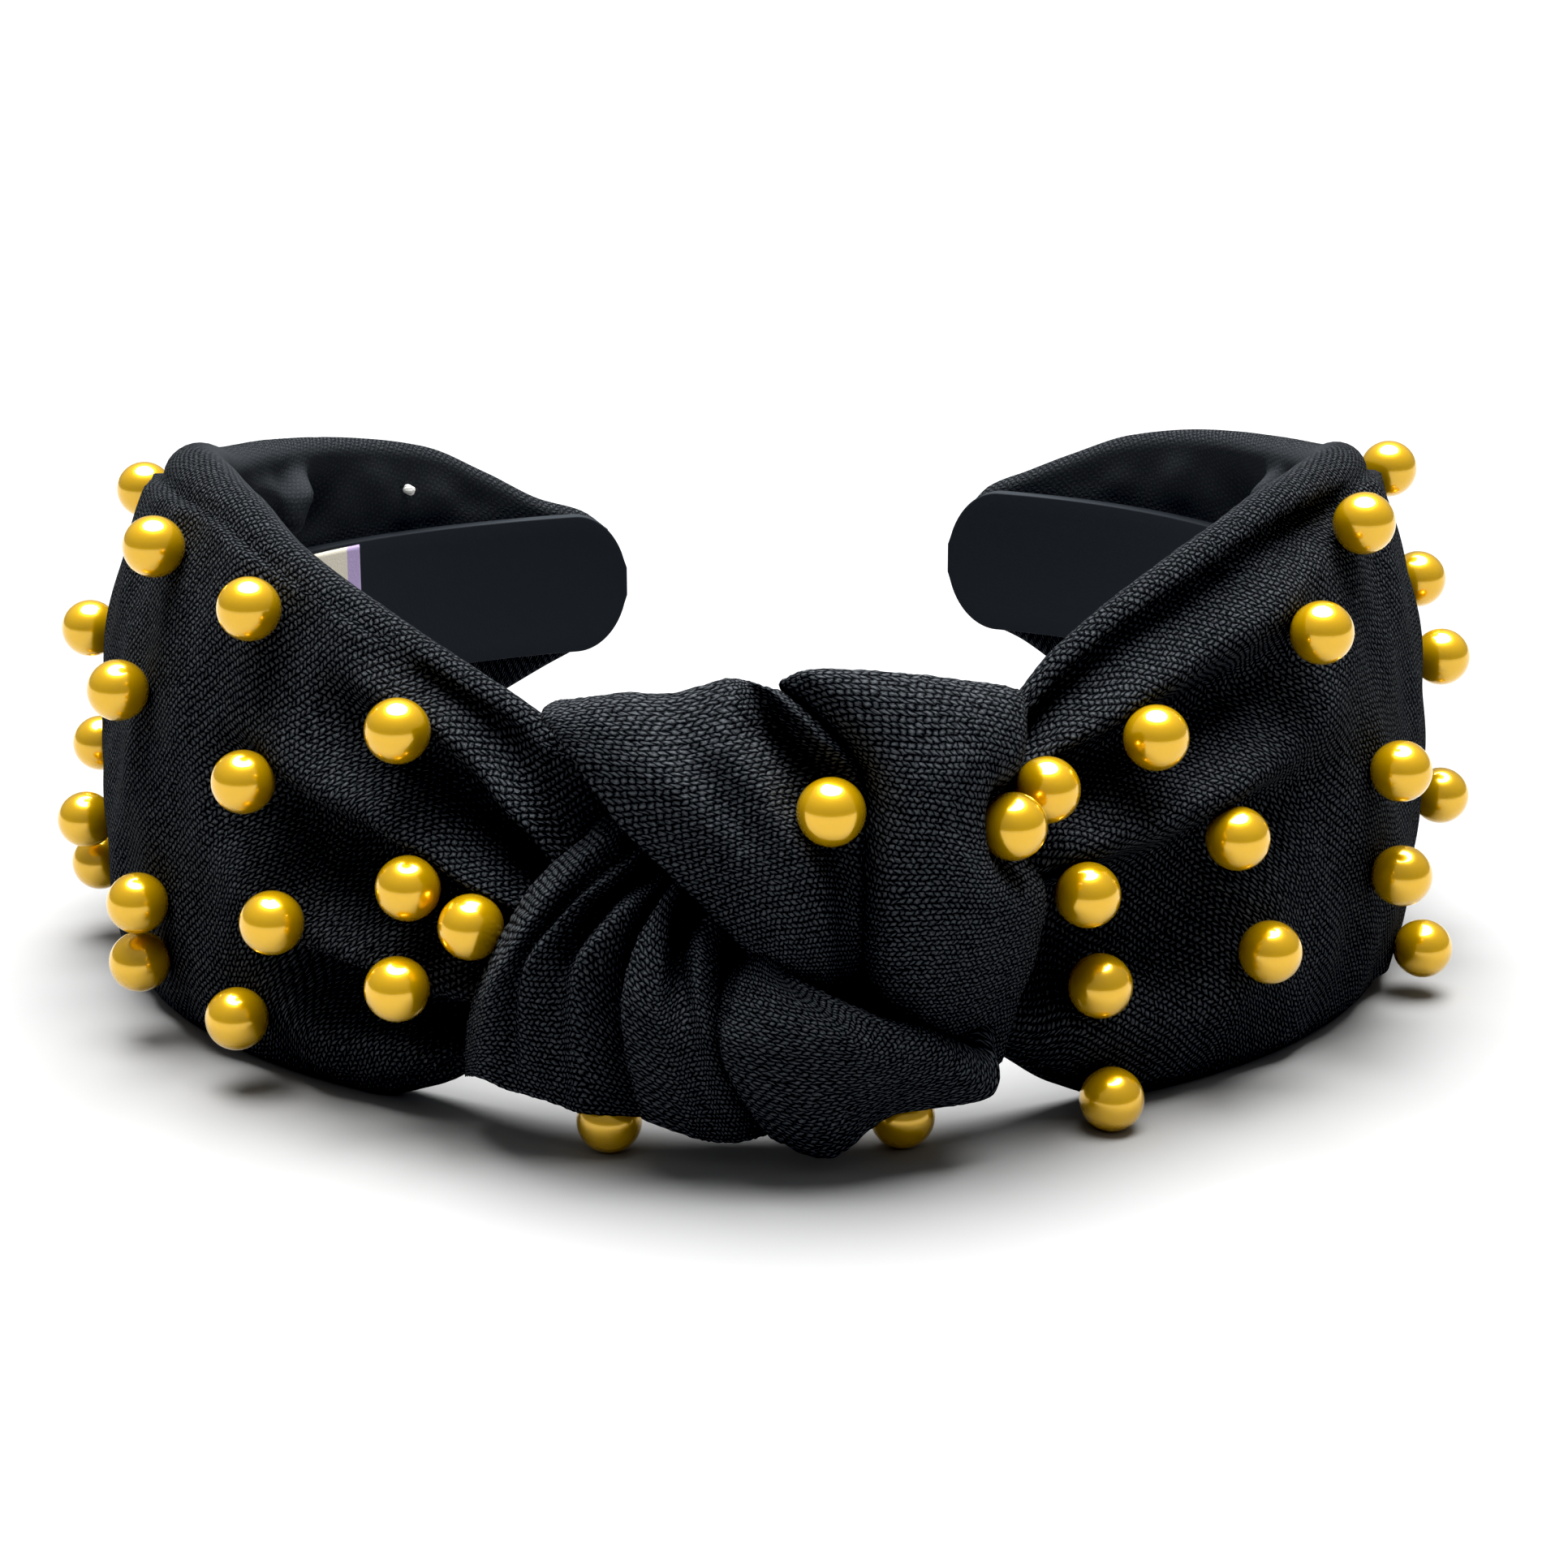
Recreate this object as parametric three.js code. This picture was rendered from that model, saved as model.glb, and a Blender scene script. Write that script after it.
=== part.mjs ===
// A knotted hair band: a springy covered hoop in a soft tube of black knit cloth, gathered into a big knot at
// the front and studded with gold pearls. It lies on its lower edge.
// Millimetres, +Z up, the knot towards -Y. Places on the loop are given by three values: the angle from the
// knot in degrees, the distance out from the hoop's outer face, and the height above the surface it lies on.
import * as THREE from "three";

// Hoop
const HOOP_HALF_WIDTH = 72.4;
const HOOP_HALF_DEPTH = 63.5;
const HOOP_THICKNESS = 2.2;
const HOOP_STRIP = 19.5;
const HOOP_MID = 34;
const HOOP_BEVEL = 0.6;
const HOOP_TIP_LENGTH = 7;
const HOOP_STEPS = 40;
const HOOP_ENDS = [
  { side: -1, tip: 162.3, lift: -1.0 },
  { side: 1, tip: 160.2, lift: 2.8 },
];
const LIFT_FROM = 60;
const LIFT_TO = 150;

// Cloth tube
const CLOTH = 1.5;
const GAP = 0.3;
const TOP_ROLL = 1.9;
const LIP_TUCK = 3;
const LEAN_START = 2;
const FACE_STEPS = 12;
const BAND_STEPS = 30;
const BAND_CROWDING = 1.12;
const CROWN_POWER = 2.4;
const FOLD_FADE = 4;
const FOLD_TAIL = 0.55;
const MM_PER_DEGREE = 1.32;
const LEAST_FACE = 3.9;
const LEAN_LEVEL = 0.2;

// One row for each cross section of the tube: its angle, the heights of its lower and upper edge, how far its
// face stands out, how far its upper edge leans inwards, and the radius of the roll at its lower edge.
const LEFT_SECTIONS = [
  { at: 0.8, low: 12.8, high: 41, puff: 6, lean: 0, roll: 1.9 },
  { at: 8, low: 12.6, high: 41, puff: 6.5, lean: 0, roll: 1.9 },
  { at: 14, low: 11.4, high: 43, puff: 8, lean: 0, roll: 2.2 },
  { at: 20, low: 7.5, high: 47.3, puff: 9.5, lean: 0, roll: 2.6 },
  { at: 26, low: 2.5, high: 51.3, puff: 9.5, lean: 0, roll: 3 },
  { at: 33, low: 0, high: 55.3, puff: 9, lean: 0.5, roll: 3.2 },
  { at: 42, low: 0, high: 59.3, puff: 8.8, lean: 2, roll: 3.2 },
  { at: 54, low: 0, high: 63.6, puff: 8.7, lean: 4, roll: 3.2 },
  { at: 68, low: 0, high: 65, puff: 8.7, lean: 5, roll: 3.2 },
  { at: 85, low: 0, high: 63.5, puff: 8.7, lean: 5, roll: 3 },
  { at: 100, low: 1.5, high: 60.3, puff: 8.2, lean: 4.5, roll: 2.6 },
  { at: 115, low: 5, high: 58.6, puff: 7.2, lean: 3, roll: 2.2 },
  { at: 128, low: 8.5, high: 56.6, puff: 6.2, lean: 1.5, roll: 1.9 },
  { at: 139, low: 12.5, high: 53.8, puff: 5.4, lean: 0.5, roll: 1.9 },
  { at: 147, low: 17, high: 49, puff: 4.8, lean: 0, roll: 1.9 },
  { at: 153, low: 20.5, high: 44.8, puff: 4.4, lean: 0, roll: 1.9 },
  { at: 158, low: 23.5, high: 42.6, puff: 4.1, lean: 0, roll: 1.9 },
];
const RIGHT_SECTIONS = [
  { at: 0.8, low: 12.8, high: 41, puff: 6, lean: 0, roll: 1.9 },
  { at: 8, low: 12.6, high: 41, puff: 6.5, lean: 0, roll: 1.9 },
  { at: 14, low: 11.6, high: 41.5, puff: 8, lean: 0, roll: 2 },
  { at: 20, low: 8, high: 43.8, puff: 9.5, lean: 0, roll: 2.2 },
  { at: 26, low: 3, high: 51.5, puff: 9.5, lean: 0, roll: 2.4 },
  { at: 33, low: 0, high: 57.1, puff: 9, lean: 0.5, roll: 2.4 },
  { at: 42, low: 0, high: 61.5, puff: 8.6, lean: 2, roll: 2.4 },
  { at: 54, low: 0, high: 64.8, puff: 8.2, lean: 4, roll: 2.4 },
  { at: 68, low: 0, high: 65.7, puff: 8, lean: 5, roll: 2.4 },
  { at: 85, low: 0, high: 64.2, puff: 8, lean: 5, roll: 2.4 },
  { at: 100, low: 1.5, high: 61.3, puff: 7.8, lean: 4.5, roll: 2.2 },
  { at: 115, low: 5.5, high: 59.6, puff: 7, lean: 3, roll: 2 },
  { at: 128, low: 10, high: 58.2, puff: 6.2, lean: 1.5, roll: 1.9 },
  { at: 139, low: 16, high: 55.8, puff: 5.4, lean: 0.5, roll: 1.9 },
  { at: 147, low: 21.5, high: 52, puff: 4.8, lean: 0, roll: 1.9 },
  { at: 152, low: 25, high: 49.2, puff: 4.4, lean: 0, roll: 1.9 },
  { at: 156.5, low: 27.3, high: 46.6, puff: 4.1, lean: 0, roll: 1.9 },
];

// One row for each fold that runs out of the knot: its line over the face as pairs of angle and height, its
// half width, and how far it stands out (a valley is below zero). Each dies away along its last stretch.
const LEFT_FOLDS = [
  { fold: "hem crease", width: 1.7, rise: -2.4,
    line: [[13, 34.5], [17, 40], [20, 44.5], [25, 50], [31, 54.5]] },
  { fold: "second roll", width: 2.4, rise: 1.6,
    line: [[13, 31.5], [17, 36], [20, 40.5], [24, 45.5], [29, 49.5]] },
  { fold: "upper valley", width: 2.6, rise: -5,
    line: [[13, 28.5], [19, 34.5], [23, 38.8], [28, 41.5], [33, 43]] },
  { fold: "upper ridge", width: 3, rise: 2,
    line: [[13, 26.5], [19, 31.5], [25, 35.8], [31, 38.4], [38, 40]] },
  { fold: "middle valley", width: 2.8, rise: -4.6,
    line: [[13, 20.5], [24, 26.2], [31, 28.6], [38, 29.8], [45, 32]] },
  { fold: "overhang", width: 3.2, rise: 2.6,
    line: [[16, 18.5], [22, 19.8], [28, 20.8], [35, 21.2], [44, 22]] },
  { fold: "under valley", width: 2.2, rise: -4.6,
    line: [[16, 13.5], [21, 14], [26, 14.6], [32, 15.2], [40, 15.5]] },
  { fold: "lower roll", width: 3.4, rise: 1.6,
    line: [[16, 9], [24, 8.2], [33, 8], [44, 8.5]] },
];
const RIGHT_FOLDS = [
  { fold: "hem groove", width: 1.6, rise: -2.4,
    line: [[15, 37], [25, 44], [32, 53.4], [43, 60], [58, 65]] },
  { fold: "second roll", width: 3, rise: 1.6,
    line: [[15, 36.5], [23, 41], [30, 45.3], [36, 48.5], [43, 52]] },
  { fold: "upper valley", width: 2.8, rise: -5,
    line: [[15, 36], [26, 38.6], [31, 39.2], [36, 41.2], [43, 45.5]] },
  { fold: "upper ridge", width: 3.2, rise: 2.4,
    line: [[15, 30.5], [23, 31.8], [31, 33.6], [40, 34.8], [54, 37.8]] },
  { fold: "middle valley", width: 5, rise: -4.2,
    line: [[15, 22], [22, 22.6], [31, 23.8], [41, 26], [50, 30]] },
  { fold: "lower ridge", width: 4, rise: 2.2,
    line: [[16, 16.5], [22, 14.5], [29, 11.8], [38, 10.2], [52, 10]] },
];
const BANDS = [
  { name: "band_cloth_left", side: -1, sections: LEFT_SECTIONS, folds: LEFT_FOLDS },
  { name: "band_cloth_right", side: 1, sections: RIGHT_SECTIONS, folds: RIGHT_FOLDS },
];

// Knot. Each strap is a doubled cloth wall drawn through its fold lines, one row for each line. A point holds
// x, the distance in front of the loop's middle, and the height.
const KNOT_STEPS = 2;
const OVER_STATIONS = ["back", "crest", "upper", "middle", "lower", "tuck"];
const OVER_STRAP = [
  { fold: "left edge", back: [-19.5, 64, 46.5], crest: [-20.5, 76, 48.5], upper: [-17.5, 80, 45.8],
    middle: [-11, 82, 37.5], lower: [-4.5, 82, 31], tuck: [2.2, 76, 22] },
  { fold: "face", back: [-11.5, 64.6, 46.2], crest: [-12, 77, 50.4], upper: [-9, 83, 46],
    middle: [-4, 86, 40.2], lower: [1.5, 86, 33.6], tuck: [4, 76, 20.8] },
  { fold: "shoulder", back: [-4, 65, 46], crest: [-3.5, 77, 51.5], upper: [-0.5, 82, 46.6],
    middle: [2.2, 84, 43], lower: [6.3, 84.5, 35], tuck: [6.6, 75.5, 20] },
  { fold: "pearl valley", back: [-1.5, 65, 46], crest: [-0.7, 75, 50.6], upper: [4, 77.5, 45],
    middle: [7.8, 76, 40.5], lower: [9.4, 79, 32], tuck: [8.6, 74.5, 19.4] },
  { fold: "roll", back: [1.2, 65, 46], crest: [2.2, 77, 50.8], upper: [7.5, 81, 47.6],
    middle: [10.8, 79.5, 43], lower: [11.3, 78.5, 32.2], tuck: [10.2, 74, 18.8] },
  { fold: "right edge", back: [2.3, 65, 45.8], crest: [3.2, 75, 50.5], upper: [9.2, 77, 46],
    middle: [12, 75.5, 41.3], lower: [11.9, 75.5, 29.6], tuck: [11, 73, 18.6] },
];
const LOOP_STATIONS = ["back", "crest", "upper", "middle", "lower", "under", "tuck"];
const SIDE_LOOP = [
  { fold: "left edge", back: [3.3, 65, 46], crest: [4.2, 75, 51], upper: [10.8, 77, 46.2],
    middle: [13, 76.5, 41.5], lower: [12.9, 76.5, 29], under: [13.4, 74, 20.4], tuck: [15, 71, 14.5] },
  { fold: "shoulder", back: [6.5, 65, 46.2], crest: [7.1, 79, 53.6], upper: [14, 83, 47],
    middle: [15.3, 84, 40.6], lower: [15.4, 84, 31], under: [15.7, 79.5, 22], tuck: [16.8, 72, 14.5] },
  { fold: "face", back: [13, 64.5, 46.2], crest: [13.6, 79.5, 53.7], upper: [19.2, 85, 47],
    middle: [19.6, 86.5, 40.5], lower: [20.5, 86.5, 31.8], under: [19.5, 81, 22.2], tuck: [19, 72.5, 14] },
  { fold: "dent", back: [20.5, 64, 46], crest: [21.7, 78, 52.5], upper: [24.2, 83, 46.6],
    middle: [22, 80.5, 38], lower: [25.2, 84, 31], under: [24, 79.5, 22], tuck: [21.5, 72, 14] },
  { fold: "side", back: [26, 63.5, 45.5], crest: [27.5, 74, 49.4], upper: [27.6, 79, 44.3],
    middle: [23.2, 75.5, 37.2], lower: [28.8, 79, 30.4], under: [28.2, 75.5, 22.2], tuck: [25, 71, 14.5] },
  { fold: "right edge", back: [27.5, 64.5, 45], crest: [29, 69.5, 46.5], upper: [29.5, 70.5, 41.5],
    middle: [25.5, 70.5, 36.5], lower: [31, 72.2, 29.6], under: [30.5, 70.6, 21.5], tuck: [27, 70.4, 15] },
];
const WRAP_STATIONS = ["root", "near", "middle", "outer", "rim", "back"];
const UNDER_WRAP = [
  { fold: "outline", root: [-9.5, 75, 37], near: [-17.6, 74.5, 32.2], middle: [-23.4, 73.5, 26],
    outer: [-28.5, 71.5, 16], rim: [-30, 69.5, 7], back: [-29, 65, 5.5] },
  { fold: "outer roll", root: [-8.5, 76.5, 36.3], near: [-16.2, 79, 32], middle: [-21, 80.5, 27.4],
    outer: [-24, 79.5, 18.7], rim: [-23.6, 76, 7.6], back: [-24, 66, 6] },
  { fold: "hollow", root: [-7.2, 75.5, 35], near: [-12.6, 77.5, 30.9], middle: [-16, 81, 26.7],
    outer: [-19, 81, 18], rim: [-18, 77, 7.4], back: [-19, 66, 8] },
  { fold: "first ridge", root: [-5.9, 77, 33.8], near: [-9.9, 81, 30.4], middle: [-13.4, 84, 27.2],
    outer: [-16, 83, 18.7], rim: [-13.4, 77, 7.6], back: [-14, 66, 9] },
  { fold: "first groove", root: [-4.9, 76, 32.2], near: [-10.2, 78, 27.6], middle: [-12, 80, 22],
    outer: [-12, 80, 15], rim: [-10.3, 76, 6.6], back: [-11, 66, 9] },
  { fold: "second ridge", root: [-3.7, 77, 31.2], near: [-8.2, 82.3, 27], middle: [-9.7, 85, 21.7],
    outer: [-9, 84, 14.8], rim: [-6.5, 78, 5], back: [-8, 66, 9] },
  { fold: "dip", root: [-2.7, 76, 29.7], near: [-5.7, 79.5, 25.2], middle: [-6.4, 83.5, 20.7],
    outer: [-5.8, 83.5, 13.8], rim: [-3.3, 78, 4], back: [-5, 66, 9] },
  { fold: "third ridge", root: [-1.6, 75.6, 27.7], near: [-4, 82, 24], middle: [-4.2, 85, 19.6],
    outer: [-3.5, 84.5, 12.9], rim: [0, 78, 3.5], back: [-1, 66, 9] },
  { fold: "second groove", root: [-0.8, 75, 25.4], near: [-1.8, 79, 21.8], middle: [-2, 81, 16.8],
    outer: [-0.6, 81, 10.7], rim: [3.4, 77, 3.2], back: [3, 66, 9] },
  { fold: "fourth ridge", root: [0.2, 77, 23.6], near: [1, 83, 20.8], middle: [1.7, 86, 17.6],
    outer: [3.7, 85.5, 11.6], rim: [7, 80, 2.4], back: [7, 66, 9] },
  { fold: "face", root: [1.6, 78.6, 22.6], near: [6, 84, 19.6], middle: [9.4, 86, 16.2],
    outer: [11.4, 84.5, 11.3], rim: [11.4, 78, 4.8], back: [11.5, 66, 9] },
  { fold: "shoulder", root: [3.2, 79.6, 21.8], near: [9, 83.5, 18.8], middle: [14.7, 84.5, 15.8],
    outer: [20, 82, 12.4], rim: [21, 76, 7], back: [20, 66, 8.5] },
  { fold: "upper edge", root: [4.6, 80, 21], near: [10, 80.5, 19], middle: [17.2, 79.5, 16],
    outer: [23.5, 77.5, 13.4], rim: [27.5, 73.5, 9.8], back: [27, 67, 8.5] },
];
// Each strap is drawn in towards a core of its own, by a share of the way, which gives its wall.
const STRAPS = [
  { name: "knot_over_strap", folds: OVER_STRAP, stations: OVER_STATIONS, core: [-12, 40, 22], share: 0.055 },
  { name: "knot_side_loop", folds: SIDE_LOOP, stations: LOOP_STATIONS, core: [12, 62, 42], share: 0.12 },
  { name: "knot_under_wrap", folds: UNDER_WRAP, stations: WRAP_STATIONS, core: [-12, 62, 18], share: 0.09 },
];

// Label, on the inner face of the hoop, and the knotted thread end on the inner side of the left cloth
const LABEL = { side: -1, from: 113.5, to: 127, low: 30.5, high: 42.6, thickness: 0.6, steps: 6 };
const STITCH = { side: -1, at: 135.5, z: 48.6, long: 2.4, round: 1.7 };

// Pearls. On the open cloth a pearl is placed by angle and height. On the knot, under it and in the deep
// valleys beside it a pearl is placed by its middle.
const PEARL_RADIUS = 3.5;
const BALL_SIDES = 10;
const BALL_RINGS = 5;
const NORMAL_STEP = 0.6;
const CLOTH_PEARLS = [
  { side: -1, at: 25.4, z: 44.7 },
  { side: -1, at: 24.9, z: 19.2 },
  { side: -1, at: 36, z: 21.4 },
  { side: -1, at: 41.6, z: 34.8 },
  { side: -1, at: 41.9, z: 52.7 },
  { side: -1, at: 42.3, z: 8.8 },
  { side: -1, at: 56.1, z: 17.4 },
  { side: -1, at: 57.6, z: 10 },
  { side: -1, at: 58, z: 56 },
  { side: -1, at: 59.8, z: 40.3 },
  { side: -1, at: 85.6, z: 16.3 },
  { side: -1, at: 87.3, z: 39.5 },
  { side: -1, at: 88.8, z: 9.8 },
  { side: -1, at: 93.4, z: 23.1 },
  { side: -1, at: 98.3, z: 53.2 },
  { side: -1, at: 112, z: 34 },
  { side: -1, at: 123, z: 22 },
  { side: 1, at: 25.2, z: 29.6 },
  { side: 1, at: 27.3, z: 16.5 },
  { side: 1, at: 39.7, z: 31.2 },
  { side: 1, at: 43, z: 16.8 },
  { side: 1, at: 49.1, z: 49.9 },
  { side: 1, at: 60.3, z: 58.8 },
  { side: 1, at: 60.3, z: 32.1 },
  { side: 1, at: 62.1, z: 19.5 },
  { side: 1, at: 74, z: 6.5 },
  { side: 1, at: 90, z: 36.2 },
  { side: 1, at: 90, z: 19 },
  { side: 1, at: 96.6, z: 43.8 },
  { side: 1, at: 98.2, z: 56.5 },
  { side: 1, at: 113, z: 28 },
  { side: 1, at: 121, z: 44 },
];
const KNOT_PEARLS = [
  { x: 8.6, ahead: 84.2, z: 40 },
  { x: 27.8, ahead: 78.5, z: 37.6 },
  { x: 16.7, ahead: 71, z: 3.5 },
  { x: -13.8, ahead: 74, z: 3.5 },
  { x: -27.9, ahead: 72, z: 25 },
  { x: -34.9, ahead: 68.6, z: 27.8 },
  { x: 31.9, ahead: 71, z: 38.8 },
  { x: 44.5, ahead: 65, z: 41.4 },
  { x: 39.7, ahead: 67, z: 3.5 },
];

const KNIT_BLACK = { color: 0x141416, roughness: 0.92, metalness: 0 };
const COVER_BLACK = { color: 0x17181a, roughness: 0.78, metalness: 0 };
const LABEL_CREAM = { color: 0xe6ddcc, roughness: 0.7, metalness: 0 };
const THREAD_WHITE = { color: 0xf2f1ee, roughness: 0.6, metalness: 0 };
const PEARL_GOLD = { color: 0xd9a23a, roughness: 0.18, metalness: 0.35 };

// A closed wall between two grids of points with equal rows and columns
function wallBetween(face, back) {
  const rows = face.length;
  const columns = face[0].length;
  const points = [...face.flat(), ...back.flat()];
  const indices = [];
  const onFace = (i, j) => i * columns + j;
  const onBack = (i, j) => rows * columns + i * columns + j;
  const quad = (a, b, c, d) => indices.push(a, b, c, a, c, d);
  for (let i = 0; i + 1 < rows; i += 1) {
    for (let j = 0; j + 1 < columns; j += 1) {
      quad(onFace(i, j), onFace(i + 1, j), onFace(i + 1, j + 1), onFace(i, j + 1));
      quad(onBack(i, j), onBack(i, j + 1), onBack(i + 1, j + 1), onBack(i + 1, j));
    }
  }
  const lastRow = rows - 1;
  const lastColumn = columns - 1;
  for (let i = 0; i + 1 < rows; i += 1) {
    quad(onFace(i, 0), onBack(i, 0), onBack(i + 1, 0), onFace(i + 1, 0));
    quad(onFace(i, lastColumn), onFace(i + 1, lastColumn), onBack(i + 1, lastColumn), onBack(i, lastColumn));
  }
  for (let j = 0; j + 1 < columns; j += 1) {
    quad(onFace(0, j), onFace(0, j + 1), onBack(0, j + 1), onBack(0, j));
    quad(onFace(lastRow, j), onBack(lastRow, j), onBack(lastRow, j + 1), onFace(lastRow, j + 1));
  }
  return outwardGeometry(points, indices);
}

// The triangles turned, if they need it, so that the enclosed volume counts as positive
function outwardGeometry(points, indices) {
  const volume = indices.reduce((sum, _, k) => {
    if (k % 3 !== 0) return sum;
    const [a, b, c] = [points[indices[k]], points[indices[k + 1]], points[indices[k + 2]]];
    return sum + a.dot(b.clone().cross(c)) / 6;
  }, 0);
  if (volume < 0) indices.reverse();
  return new THREE.BufferGeometry().setFromPoints(points).setIndex(indices);
}

function piece(name, geometry, finish) {
  const mesh = new THREE.Mesh(geometry, new THREE.MeshStandardMaterial(finish));
  mesh.name = name;
  return mesh;
}

// A place on the loop from its side, angle, distance out from the hoop's outer face, and height
function onLoop(side, at, out, z) {
  const angle = side * THREE.MathUtils.degToRad(at);
  const across = Math.sin(angle);
  const ahead = Math.cos(angle);
  const outward = new THREE.Vector3(across / HOOP_HALF_WIDTH, -ahead / HOOP_HALF_DEPTH, 0).normalize();
  const foot = new THREE.Vector3(HOOP_HALF_WIDTH * across, -HOOP_HALF_DEPTH * ahead, z);
  return foot.addScaledVector(outward, out);
}

function hoopMid(side, at) {
  const end = HOOP_ENDS.find((row) => row.side === side);
  return HOOP_MID + end.lift * THREE.MathUtils.smoothstep(at, LIFT_FROM, LIFT_TO);
}

// A smooth curve through one column of a table, with no overshoot between its rows
function column(rows, key, at) {
  const slopes = rows.slice(1).map((row, i) => (row[key] - rows[i][key]) / (row.at - rows[i].at));
  const tangent = (i) => {
    const before = slopes[Math.max(i - 1, 0)];
    const after = slopes[Math.min(i, slopes.length - 1)];
    return before * after <= 0 ? 0 : (2 * before * after) / (before + after);
  };
  const inside = THREE.MathUtils.clamp(at, rows[0].at, rows.at(-1).at);
  const found = rows.findIndex((row) => row.at > inside);
  const i = found < 0 ? rows.length - 2 : found - 1;
  const span = rows[i + 1].at - rows[i].at;
  const u = (inside - rows[i].at) / span;
  const start = (2 * u ** 3 - 3 * u ** 2 + 1) * rows[i][key] + (u ** 3 - 2 * u ** 2 + u) * span * tangent(i);
  const end = (3 * u ** 2 - 2 * u ** 3) * rows[i + 1][key] + (u ** 3 - u ** 2) * span * tangent(i + 1);
  return start + end;
}

function bandSection(band, at) {
  const keys = ["low", "high", "puff", "lean", "roll"];
  return Object.fromEntries(keys.map((key) => [key, column(band.sections, key, at)]));
}

// How far all the folds together move the cloth out at a place on its face
function foldRise(folds, at, z) {
  const place = new THREE.Vector2(at * MM_PER_DEGREE, z);
  return folds.reduce((total, { line, width, rise }) => {
    const points = line.map(([angle, height]) => new THREE.Vector2(angle * MM_PER_DEGREE, height));
    let nearest = Infinity;
    let along = 0;
    for (let k = 0; k + 1 < points.length; k += 1) {
      const run = points[k + 1].clone().sub(points[k]);
      const t = THREE.MathUtils.clamp(place.clone().sub(points[k]).dot(run) / run.lengthSq(), 0, 1);
      const distance = points[k].clone().addScaledVector(run, t).distanceTo(place);
      if (distance < nearest) {
        nearest = distance;
        along = (k + t) / (points.length - 1);
      }
    }
    const tail = 1 - THREE.MathUtils.smoothstep(along, FOLD_TAIL, 1);
    return total + rise * Math.exp(-((nearest / width) ** 2)) * tail;
  }, 0);
}

// How far the cloth's face stands out from the hoop at an angle and height
function faceOut(band, at, z) {
  const { low, high, puff, lean, roll } = bandSection(band, at);
  const level = THREE.MathUtils.clamp((2 * z - low - high) / (high - low), -1, 1);
  const lowEdge = GAP + 2 * roll;
  const highEdge = GAP + 2 * TOP_ROLL - lean;
  const edge = THREE.MathUtils.lerp(lowEdge, highEdge, (level + 1) / 2);
  const crown = (puff - (lowEdge + highEdge) / 2) * (1 - Math.abs(level) ** CROWN_POWER);
  const fade = THREE.MathUtils.smoothstep(Math.min(high - z, z - low), 0, FOLD_FADE);
  const least = LEAST_FACE - lean * THREE.MathUtils.smoothstep(level, LEAN_LEVEL, 1);
  return Math.max(edge + crown + foldRise(band.folds, at, z) * fade, least);
}

// One cross section of the tube as pairs of points, outside and inside of the cloth, from the lip tucked
// behind the hoop's upper edge, over the top, down the face and round to the lower lip. Each roll has a flat
// facet at its outermost, and the lower one lies on the surface.
function tubeSection(band, at) {
  const { low, high, lean, roll } = bandSection(band, at);
  const mid = hoopMid(band.side, at);
  const hoopTop = mid + HOOP_STRIP / 2;
  const topCentre = high - TOP_ROLL;
  const lowCentre = low + roll;
  const pairs = [];
  const add = (out, z, innerOut, innerZ) =>
    pairs.push([onLoop(band.side, at, out, z), onLoop(band.side, at, innerOut, innerZ)]);
  const flap = (z) => {
    const bend = THREE.MathUtils.clamp((z - hoopTop - LEAN_START) / (topCentre - hoopTop - LEAN_START), 0, 1);
    return GAP - (topCentre > hoopTop + LEAN_START ? lean * bend : 0);
  };
  const rollOver = (centreOut, centreZ, radius, reach) => {
    for (const turn of [-reach, reach]) {
      const inner = radius - CLOTH;
      add(centreOut + (turn * radius) / 2, centreZ + reach * radius,
        centreOut + (turn * inner) / 2, centreZ + reach * inner);
    }
  };
  const lipTop = mid + LIP_TUCK;
  for (const z of [lipTop, Math.min(hoopTop + LEAN_START, (lipTop + topCentre) / 2), topCentre]) {
    add(flap(z), z, flap(z) + CLOTH, z);
  }
  rollOver(flap(topCentre) + TOP_ROLL, topCentre, TOP_ROLL, 1);
  for (let k = 0; k <= FACE_STEPS; k += 1) {
    const z = THREE.MathUtils.lerp(topCentre, lowCentre, k / FACE_STEPS);
    const out = faceOut(band, at, z);
    add(out, z, out - CLOTH, z);
  }
  rollOver(GAP + roll, lowCentre, roll, -1);
  const lipLow = mid - LIP_TUCK;
  for (const z of [lowCentre, lipLow]) {
    add(GAP, z, GAP + CLOTH, z);
  }
  return pairs;
}

function bandCloth(band) {
  const from = band.sections[0].at;
  const to = band.sections.at(-1).at;
  const sections = Array.from({ length: BAND_STEPS + 1 }, (_, i) =>
    tubeSection(band, THREE.MathUtils.lerp(from, to, (i / BAND_STEPS) ** BAND_CROWDING)));
  const layer = (which) => sections.map((pairs) => pairs.map((pair) => pair[which]));
  return piece(band.name, wallBetween(layer(0), layer(1)), KNIT_BLACK);
}

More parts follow.
